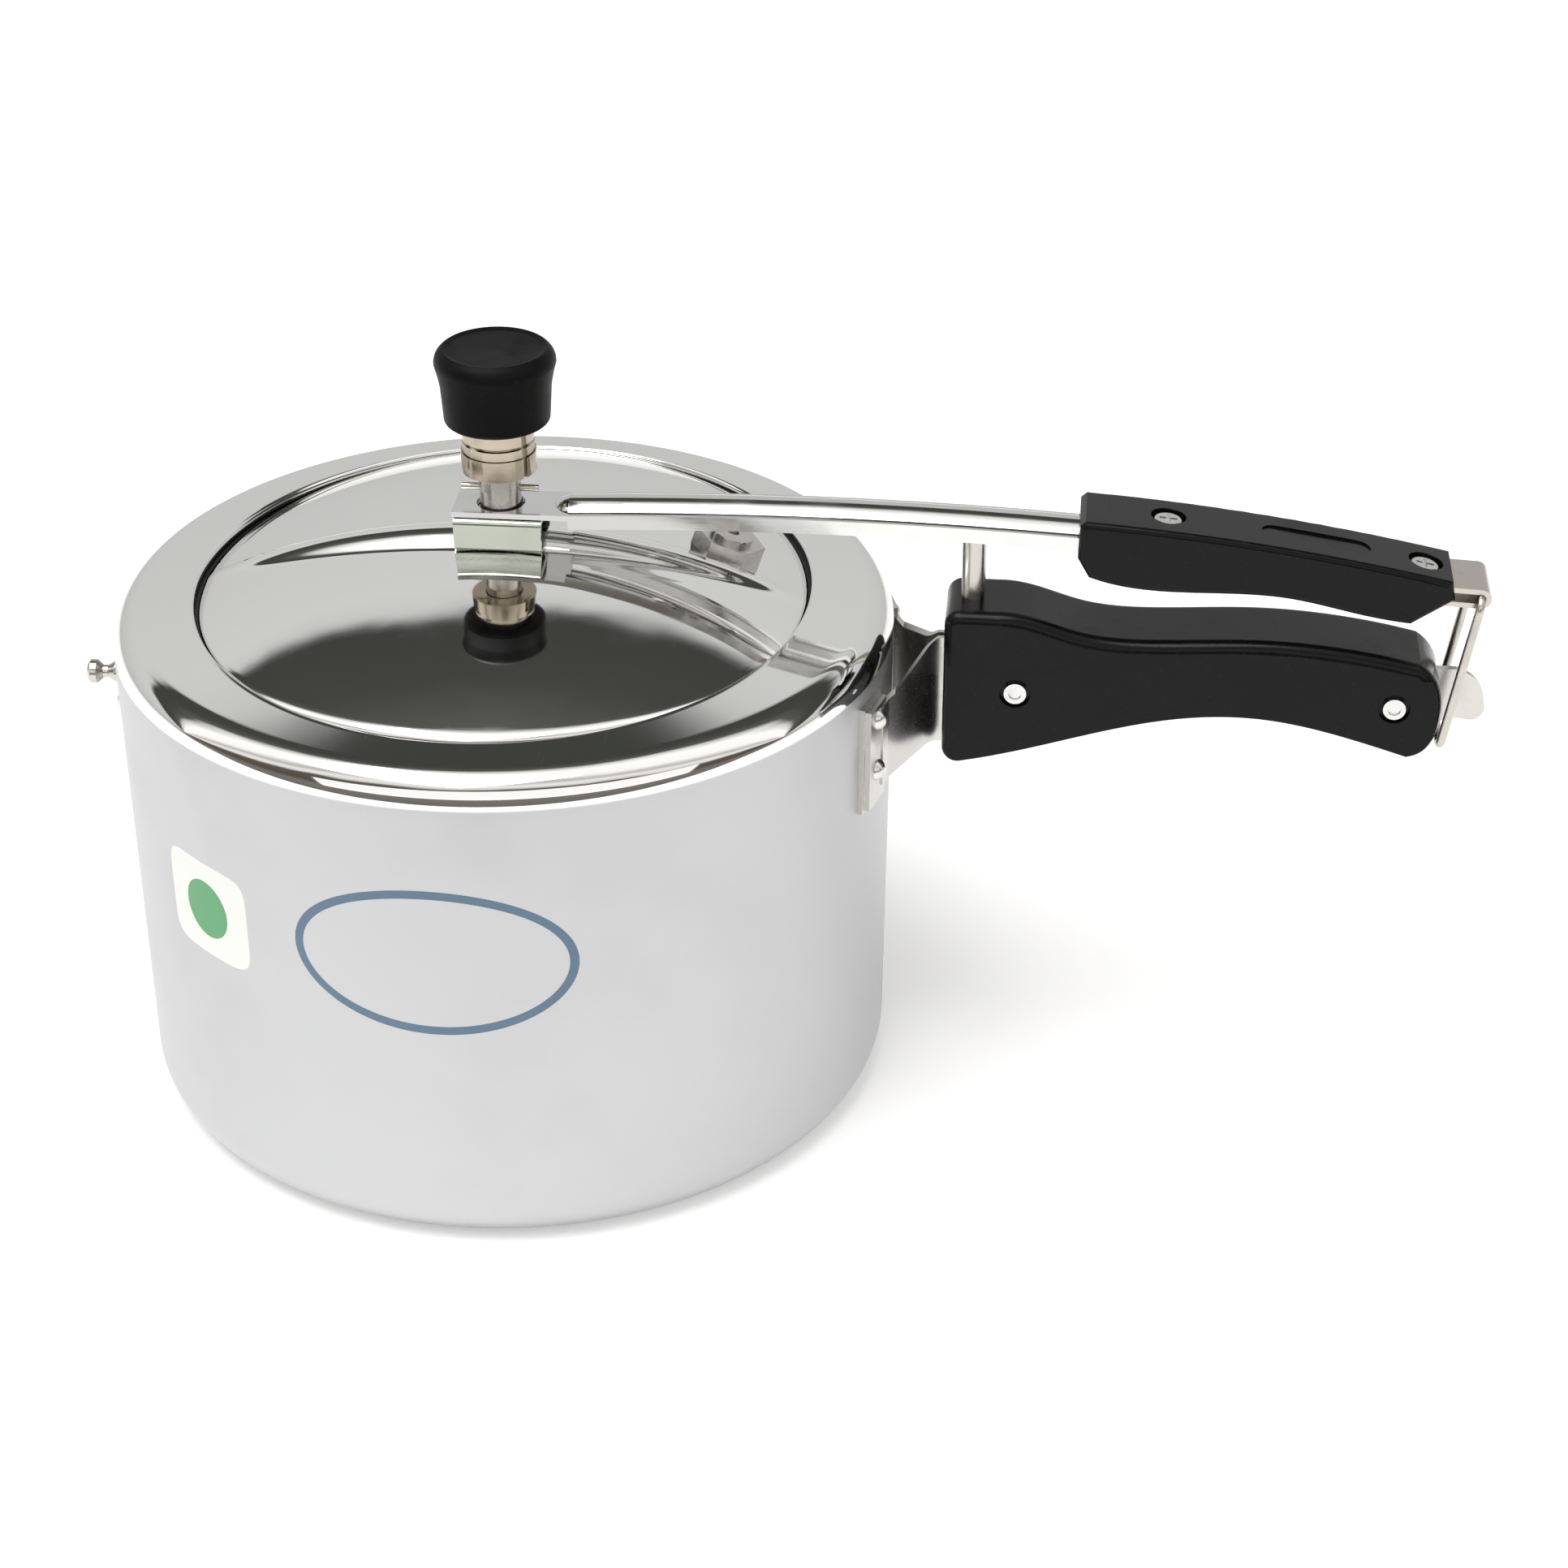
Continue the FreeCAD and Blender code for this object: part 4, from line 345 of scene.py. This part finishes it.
def bumpFrom(tree, shader, height, strength, distance):
    item = addNode(tree, "ShaderNodeBump")
    item.inputs["Strength"].default_value = strength
    item.inputs["Distance"].default_value = distance
    tree.links.new(height, item.inputs["Height"])
    tree.links.new(item.outputs[0], shader.inputs["Normal"])


def mixColor(tree, factor, first, second):
    item = addNode(tree, "ShaderNodeMix", data_type="RGBA")
    tree.links.new(factor, item.inputs["Factor"])
    item.inputs["A"].default_value = (*first, 1.0)
    item.inputs["B"].default_value = (*second, 1.0)
    return item.outputs["Result"]


# finishes
potFinish = {
    "satin": (0.53, 0.535, 0.545), "polished": (0.84, 0.835, 0.825),
    "seam": 143.2, "seamBlend": 0.5, "satinRoughness": 0.42, "polishedRoughness": 0.05,
}

# plain shapes on the wall: the centre is a place round the wall and a height, all sizes in mm,
# and a higher power squares an oval's corners
labelRadius = 111.2
labels = {
    "ring": {
        "centre": (-4.8, 95.0), "half": (40.0, 23.0), "inner": (37.4, 20.4), "power": 2.0,
        "color": (0.10, 0.17, 0.25),
    },
    "tag": {"centre": (-79.0, 92.0), "half": (17.0, 15.0), "power": 6.0, "color": (0.82, 0.83, 0.80)},
    "dot": {"centre": (-79.0, 92.0), "half": (9.0, 9.0), "power": 2.0, "color": (0.09, 0.35, 0.14)},
}


def shareOut(tree, source, centre, half, power):
    offset = mathNode(tree, "SUBTRACT", source, centre * mm)
    share = mathNode(tree, "ABSOLUTE", mathNode(tree, "DIVIDE", offset, half * mm))
    return mathNode(tree, "POWER", share, power)


def ovalMask(tree, around, height, label, half):
    across = shareOut(tree, around, label["centre"][0], half[0], label["power"])
    up = shareOut(tree, height, label["centre"][1], half[1], label["power"])
    return mathNode(tree, "LESS_THAN", mathNode(tree, "ADD", across, up), 1.0)


def addLabels(tree, shader, split, shapes):
    # laid over the wall, round its outside on the side of -Y
    front = mathNode(tree, "MULTIPLY", split.outputs["Y"], -1.0)
    angle = mathNode(tree, "ARCTAN2", split.outputs["X"], front)
    around = mathNode(tree, "MULTIPLY", angle, labelRadius * mm)
    height = split.outputs["Z"]
    color = shader.inputs["Base Color"].links[0].from_socket
    cover = None
    for label in shapes.values():
        mask = ovalMask(tree, around, height, label, label["half"])
        if "inner" in label:
            mask = mathNode(tree, "SUBTRACT", mask, ovalMask(tree, around, height, label, label["inner"]))
        item = addNode(tree, "ShaderNodeMix", data_type="RGBA")
        tree.links.new(mask, item.inputs["Factor"])
        tree.links.new(color, item.inputs["A"])
        item.inputs["B"].default_value = (*label["color"], 1.0)
        color = item.outputs["Result"]
        cover = mask if cover is None else mathNode(tree, "MAXIMUM", cover, mask)
    tree.links.new(color, shader.inputs["Base Color"])
    tree.links.new(mathNode(tree, "SUBTRACT", 1.0, cover), shader.inputs["Metallic"])


def potMaterial(values):
    paint, tree, shader, coords = newMaterial("potAluminium", values["satin"], 1.0, 0.4)
    split = addNode(tree, "ShaderNodeSeparateXYZ")
    tree.links.new(coords, split.inputs[0])
    seam = values["seam"] * mm
    blend = values["seamBlend"] * mm
    outside = rangeNode(tree, split.outputs["Z"], seam - blend, seam + blend, 0.0, 1.0)
    cloud = useGroup(tree, smudges, coords, Scale=22.0, Amount=0.10)
    hair = useGroup(tree, scratches, coords, Fineness=1.0)
    rings = useGroup(tree, turningLines, coords, Density=2600.0)
    satin = mathNode(tree, "ADD", values["satinRoughness"], mathNode(tree, "MULTIPLY", cloud, 0.5))
    polished = mathNode(tree, "ADD", values["polishedRoughness"], mathNode(tree, "MULTIPLY", hair, 0.05))
    mix = addNode(tree, "ShaderNodeMix", data_type="FLOAT")
    tree.links.new(outside, mix.inputs["Factor"])
    tree.links.new(satin, mix.inputs["A"])
    tree.links.new(polished, mix.inputs["B"])
    tree.links.new(mix.outputs["Result"], shader.inputs["Roughness"])
    tone = mixColor(tree, outside, values["satin"], values["polished"])
    tree.links.new(tone, shader.inputs["Base Color"])
    addLabels(tree, shader, split, labels)
    strength = mathNode(tree, "SUBTRACT", 1.0, mathNode(tree, "MULTIPLY", outside, 0.93))
    grooves = mathNode(tree, "MULTIPLY", mathNode(tree, "MULTIPLY", rings, strength), 0.05)
    wave = mathNode(tree, "MULTIPLY", noiseNode(tree, coords, 26.0, 1.0, 0.4), 0.5)
    relief = mathNode(tree, "ADD", grooves, wave)
    bumpFrom(tree, shader, relief, 0.35, 0.0004)
    return paint


def roughen(tree, shader, roughness, cloud, hair, depth):
    wear = mathNode(tree, "ADD", cloud, mathNode(tree, "MULTIPLY", hair, depth))
    tree.links.new(mathNode(tree, "ADD", roughness, wear), shader.inputs["Roughness"])


def lidMaterial():
    paint, tree, shader, coords = newMaterial("lidAluminium", (0.86, 0.855, 0.845), 1.0, 0.04)
    cloud = useGroup(tree, smudges, coords, Scale=38.0, Amount=0.05)
    hair = useGroup(tree, scratches, coords, Fineness=1.2)
    roughen(tree, shader, 0.035, cloud, hair, 0.05)
    wave = noiseNode(tree, coords, 34.0, 1.0, 0.4)
    bumpFrom(tree, shader, wave, 0.25, 0.0004)
    return paint


def steelMaterial(name, color, roughness, cloudScale=60.0, brushed=(1.0, 1.0, 1.0), grain=0.15):
    paint, tree, shader, coords = newMaterial(name, color, 1.0, roughness)
    cloud = useGroup(tree, smudges, coords, Scale=cloudScale, Amount=0.14)
    hair = useGroup(tree, scratches, coords, Fineness=1.6)
    roughen(tree, shader, roughness, cloud, hair, 0.08)
    dark = tuple(channel * 0.72 for channel in color)
    tree.links.new(mixColor(tree, cloud, color, dark), shader.inputs["Base Color"])
    lines = noiseNode(tree, stretched(tree, coords, brushed), 700.0, 2.0, 0.6)
    bumpFrom(tree, shader, lines, grain, 0.0001)
    return paint


bakelite = {"black": (0.003, 0.003, 0.0032), "dust": (0.02, 0.0195, 0.019)}


def bakeliteMaterial(name, roughness, speckle, coat):
    paint, tree, shader, coords = newMaterial(
        name, bakelite["black"], 0.0, roughness,
        Coat_Weight=coat, Coat_Roughness=0.10, Coat_IOR=1.22, Specular_IOR_Level=0.10,
    )
    cloud = useGroup(tree, smudges, coords, Scale=45.0, Amount=0.16)
    hair = useGroup(tree, scratches, coords, Fineness=1.0)
    roughen(tree, shader, roughness, cloud, hair, 0.12)
    dust = noiseNode(tree, coords, 900.0, 2.0, 0.6)
    specks = rangeNode(tree, dust, 0.66, 0.80, 0.0, 1.0)
    tree.links.new(mixColor(tree, specks, bakelite["black"], bakelite["dust"]), shader.inputs["Base Color"])
    skin = noiseNode(tree, coords, 260.0, 3.0, 0.6)
    bumpFrom(tree, shader, skin, speckle, 0.0002)
    return paint


def rubberMaterial():
    paint, tree, shader, coords = newMaterial("gasketRubber", (0.012, 0.012, 0.012), 0.0, 0.6)
    bumpFrom(tree, shader, noiseNode(tree, coords, 500.0), 0.2, 0.0002)
    return paint


# steels take a colour, a roughness, the size of their smudges, the way they are brushed and its depth
finishes = {
    "pot": potMaterial(potFinish),
    "lid": lidMaterial(),
    "lever": steelMaterial("polishedLever", (0.70, 0.70, 0.69), 0.11, 40.0, (0.06, 1.0, 1.0), 0.10),
    "saddle": steelMaterial("brightSaddle", (0.56, 0.60, 0.53), 0.12, 50.0, (0.1, 1.0, 1.0), 0.08),
    "bracket": steelMaterial("bracketSteel", (0.60, 0.585, 0.56), 0.24, 55.0, (1.0, 1.0, 0.1), 0.2),
    "rivet": steelMaterial("rivetMetal", (0.70, 0.69, 0.67), 0.22, 120.0),
    "screw": steelMaterial("screwZinc", (0.68, 0.68, 0.67), 0.20, 120.0),
    "pin": steelMaterial("pinSteel", (0.55, 0.53, 0.49), 0.22, 90.0, (1.0, 1.0, 0.06), 0.25),
    "latch": steelMaterial("latchSteel", (0.56, 0.525, 0.48), 0.26, 80.0, (1.0, 1.0, 0.1), 0.2),
    "valve": steelMaterial("valveNickel", (0.60, 0.585, 0.555), 0.20, 90.0),
    "weight": steelMaterial("weightNickel", (0.46, 0.40, 0.32), 0.10, 90.0, (1.0, 1.0, 0.1), 0.08),
    "handle": bakeliteMaterial("handleBakelite", 0.24, 0.06, 0.6),
    "cap": bakeliteMaterial("capBakelite", 0.45, 0.22, 0.0),
    "rubber": rubberMaterial(),
}

nodeFinish = {
    "handle_bracket": "bracket", "bracket_backing_plates": "bracket", "bracket_rivets": "rivet",
    "catch_strip": "bracket", "body_handle_front": "handle", "body_handle_back": "handle",
    "handle_screws": "screw", "handle_nuts": "screw", "fulcrum_pin": "pin",
    "helper_plate": "bracket", "helper_rivet": "rivet", "helper_stud": "pin",
    "lever_bar": "lever", "fulcrum_rivet": "lever", "lid_handle": "handle",
    "lid_handle_screws": "screw", "lid_handle_nuts": "screw", "latch_strip": "latch",
    "locking_loop": "latch", "gasket": "rubber", "lid_saddle": "saddle", "vent_tube": "pin",
    "vent_nut": "screw", "vent_washer": "screw", "cross_pin": "pin", "safety_valve_body": "valve",
    "fusible_plug": "valve", "safety_valve_nut": "valve", "safety_valve_washer": "valve",
    "valve_needle": "pin", "weight_body": "weight", "spring_ring": "weight", "regulator_cap": "cap",
}
for node, finish in nodeFinish.items():
    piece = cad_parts[node]
    piece.data.materials.clear()
    piece.data.materials.append(finishes[finish])
print("finishes ready:", len(finishes))


# turned pieces

def arcPoints(centre, radius, startAngle, endAngle, steps):
    points = []
    for step in range(steps + 1):
        angle = math.radians(startAngle + (endAngle - startAngle) * step / steps)
        points.append((centre[0] + radius * math.cos(angle), centre[1] + radius * math.sin(angle)))
    return points


def linePoints(start, end, steps):
    return [
        (start[0] + (end[0] - start[0]) * step / steps, start[1] + (end[1] - start[1]) * step / steps)
        for step in range(1, steps + 1)
    ]


def spinProfile(points, steps):
    # points are (radius, height) in mm, turned about the upright axis
    form = bmesh.new()
    verts = [form.verts.new((radius * mm, 0.0, height * mm)) for radius, height in points]
    edges = [form.edges.new(pair) for pair in zip(verts, verts[1:])]
    bmesh.ops.spin(
        form, geom=verts + edges, cent=(0, 0, 0), axis=(0, 0, 1), dvec=(0, 0, 0),
        angle=2 * math.pi, steps=steps, use_merge=True, use_duplicate=False,
    )
    bmesh.ops.remove_doubles(form, verts=form.verts, dist=0.00001)
    bmesh.ops.recalc_face_normals(form, faces=form.faces)
    return form


def finishPiece(form, name, material, body, sharpAngle=40.0):
    mesh = bpy.data.meshes.new(name)
    form.to_mesh(mesh)
    form.free()
    mesh.materials.append(finishes[material])
    mesh.shade_smooth()
    mesh.set_sharp_from_angle(angle=math.radians(sharpAngle))
    piece = bpy.data.objects.new(name, mesh)
    bpy.context.collection.objects.link(piece)
    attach(piece, body)
    return piece


# sizes in mm, the slope in degrees
pot = {
    "radius": 112.0, "baseRadius": 110.4, "seam": 143.5, "corner": 13.0, "innerCorner": 10.0,
    "floor": 4.0, "wall": 3.0, "shoulder": 9.0, "slope": 8.0,
    "mouthX": 88.2, "mouthY": 93.8, "edge": 0.9, "steps": 256,
}


def buildPot(values):
    slope = math.radians(values["slope"])
    centre = (values["radius"] - values["shoulder"], values["seam"])
    footRadius = centre[0] + values["shoulder"] * math.sin(slope)
    footHeight = centre[1] + values["shoulder"] * math.cos(slope)
    mean = (values["mouthX"] + values["mouthY"]) / 2
    topHeight = footHeight + math.tan(slope) * (footRadius - mean)
    edge = values["edge"]
    inner = values["shoulder"] - values["wall"]
    underHeight = centre[1] + inner * math.cos(slope) + math.tan(slope) * (footRadius - mean)
    cornerRun = values["baseRadius"] - values["corner"]
    floorRun = values["baseRadius"] - values["wall"] - values["innerCorner"]
    profile = [(0.0, 0.0)] + linePoints((0.0, 0.0), (cornerRun, 0.0), 8)
    profile += arcPoints((cornerRun, values["corner"]), values["corner"], -90, 0, 14)[1:]
    profile += linePoints(profile[-1], (values["radius"], values["seam"]), 24)
    profile += arcPoints(centre, values["shoulder"], 0, 90 - values["slope"], 20)[1:]
    profile += linePoints(profile[-1], (mean + edge, topHeight - math.tan(slope) * edge), 14)
    profile += arcPoints((mean + edge, topHeight - edge), edge, 90, 180, 6)[1:]
    profile += linePoints(profile[-1], (mean, underHeight + edge), 2)
    profile += arcPoints((mean + edge, underHeight + edge), edge, 180, 270, 6)[1:]
    underFoot = (centre[0] + inner * math.sin(slope), centre[1] + inner * math.cos(slope))
    profile += linePoints(profile[-1], underFoot, 10)
    profile += arcPoints(centre, inner, 90 - values["slope"], 0, 12)[1:]
    cornerHeight = values["floor"] + values["innerCorner"]
    profile += linePoints(profile[-1], (values["baseRadius"] - values["wall"], cornerHeight), 16)
    profile += arcPoints((floorRun, cornerHeight), values["innerCorner"], 0, -90, 12)[1:]
    profile += linePoints(profile[-1], (0.0, values["floor"]), 8)
    form = spinProfile(profile, values["steps"])
    # the rim closes in to an oval mouth
    for vert in form.verts:
        radius = math.hypot(vert.co.x, vert.co.y) / mm
        if vert.co.z < values["seam"] * mm or radius > footRadius:
            continue
        cosine, sine = vert.co.x / mm / radius, vert.co.y / mm / radius
        oval = 1.0 / math.hypot(cosine / values["mouthX"], sine / values["mouthY"])
        share = (footRadius - radius) / (footRadius - mean)
        moved = footRadius + share * (oval - footRadius)
        vert.co.x = moved * cosine * mm
        vert.co.y = moved * sine * mm
        vert.co.z += math.tan(slope) * (radius - moved) * mm
    piece = finishPiece(form, "potShell", "pot", "pot")
    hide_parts("pot_shell")


buildPot(pot)
print("pot turned")

# sizes in mm: the dome and the ridge are parts of ellipsoids, and the dome rolls over at its edge
lid = {
    "ovalRatio": pot["mouthX"] / pot["mouthY"], "neck": 93.1, "wall": 3.0,
    "domeCentre": 108.3, "domeHalf": (126.0, 143.0, 60.0), "domeBlend": 0.9,
    "rollRadius": 6.5, "rollSlope": 22.0, "rollLift": 0.3,
    "flange": 96.8, "flangeTop": 144.9, "flangeThickness": 2.5,
    "ridgeCentre": 112.0, "ridgeHalf": (113.8, 23.0, 60.0), "ridgeBlend": 0.9, "ridgeDepth": 8.0,
    "rings": 80, "rollRings": 14, "underRings": 30, "steps": 480, "crowding": 0.68, "marker": 1000.0,
}


def ballHeight(centre, half, x, y):
    left = 1.0 - (x / half[0]) ** 2 - (y / half[1]) ** 2
    return centre + half[2] * math.sqrt(left) if left > 0.0 else centre


def lowerOf(first, second, blend):
    return (first + second - math.hypot(first - second, blend)) / 2


def higherOf(first, second, blend):
    return (first + second + math.hypot(first - second, blend)) / 2


def rollStart(values):
    return values["neck"] - values["rollRadius"] * (1 - math.sin(math.radians(values["rollSlope"])))


def lidHeight(values, radius, x, y, shrink):
    # the dome rolls over at its edge, and the ridge breaks through it along X
    slope = math.radians(values["rollSlope"])
    rollX = rollStart(values)
    rollTop = ballHeight(values["domeCentre"], values["domeHalf"], 0.0, rollX) + values["rollLift"]
    rollFoot = rollTop - values["rollRadius"] * math.cos(slope)
    if radius > rollX:
        run = min(radius - (values["neck"] - values["rollRadius"]), values["rollRadius"])
        roll = rollFoot + math.sqrt(values["rollRadius"] ** 2 - run ** 2)
    else:
        roll = rollTop + (rollX - radius) * math.tan(slope)
    domeHalf = [half - shrink for half in values["domeHalf"]]
    ridgeHalf = [half - shrink for half in values["ridgeHalf"]]
    dome = ballHeight(values["domeCentre"], domeHalf, x, y)
    height = lowerOf(roll - shrink, dome, values["domeBlend"])
    ridge = ballHeight(values["ridgeCentre"], ridgeHalf, x, y)
    if ridge > height - values["ridgeDepth"]:
        height = higherOf(height, ridge, values["ridgeBlend"])
    return height


def buildLid(values):
    slope = math.radians(values["rollSlope"])
    top = [rollStart(values) * ring / values["rings"] for ring in range(values["rings"] + 1)]
    for ring in range(1, values["rollRings"] + 1):
        angle = math.pi / 2 - slope - (math.pi / 2 - slope) * ring / values["rollRings"]
        top.append(values["neck"] - values["rollRadius"] * (1 - math.cos(angle)))
    innerNeck = values["neck"] - values["wall"]
    under = [innerNeck * ring / values["underRings"] for ring in range(values["underRings"], -1, -1)]
    low = values["flangeTop"] - values["flangeThickness"]
    rim = [
        (values["neck"], values["flangeTop"]), (values["flange"], values["flangeTop"]),
        (values["flange"], low), (innerNeck, low),
    ]
    # the top and the underside are first set far above and far below, and take their heights after
    marker = values["marker"]
    raised = [(radius, marker + radius) for radius in top]
    lowered = [(radius, -marker - radius) for radius in under]
    form = spinProfile(raised + rim + lowered, values["steps"])
    for vert in form.verts:
        radius = math.hypot(vert.co.x, vert.co.y)
        angle = math.atan2(vert.co.y, vert.co.x)
        angle -= values["crowding"] * math.sin(2 * angle) / 2
        vert.co.x = radius * math.cos(angle) * values["ovalRatio"]
        vert.co.y = radius * math.sin(angle)
        if abs(vert.co.z) > marker * mm / 2:
            shrink = 0.0 if vert.co.z > 0 else values["wall"]
            height = lidHeight(values, radius / mm, vert.co.x / mm, vert.co.y / mm, shrink)
            vert.co.z = max(height, low) * mm
    bmesh.ops.recalc_face_normals(form, faces=form.faces)
    piece = finishPiece(form, "lidDome", "lid", "lid", 50.0)
    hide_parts("lid_dome")


buildLid(lid)
print("lid pressed")
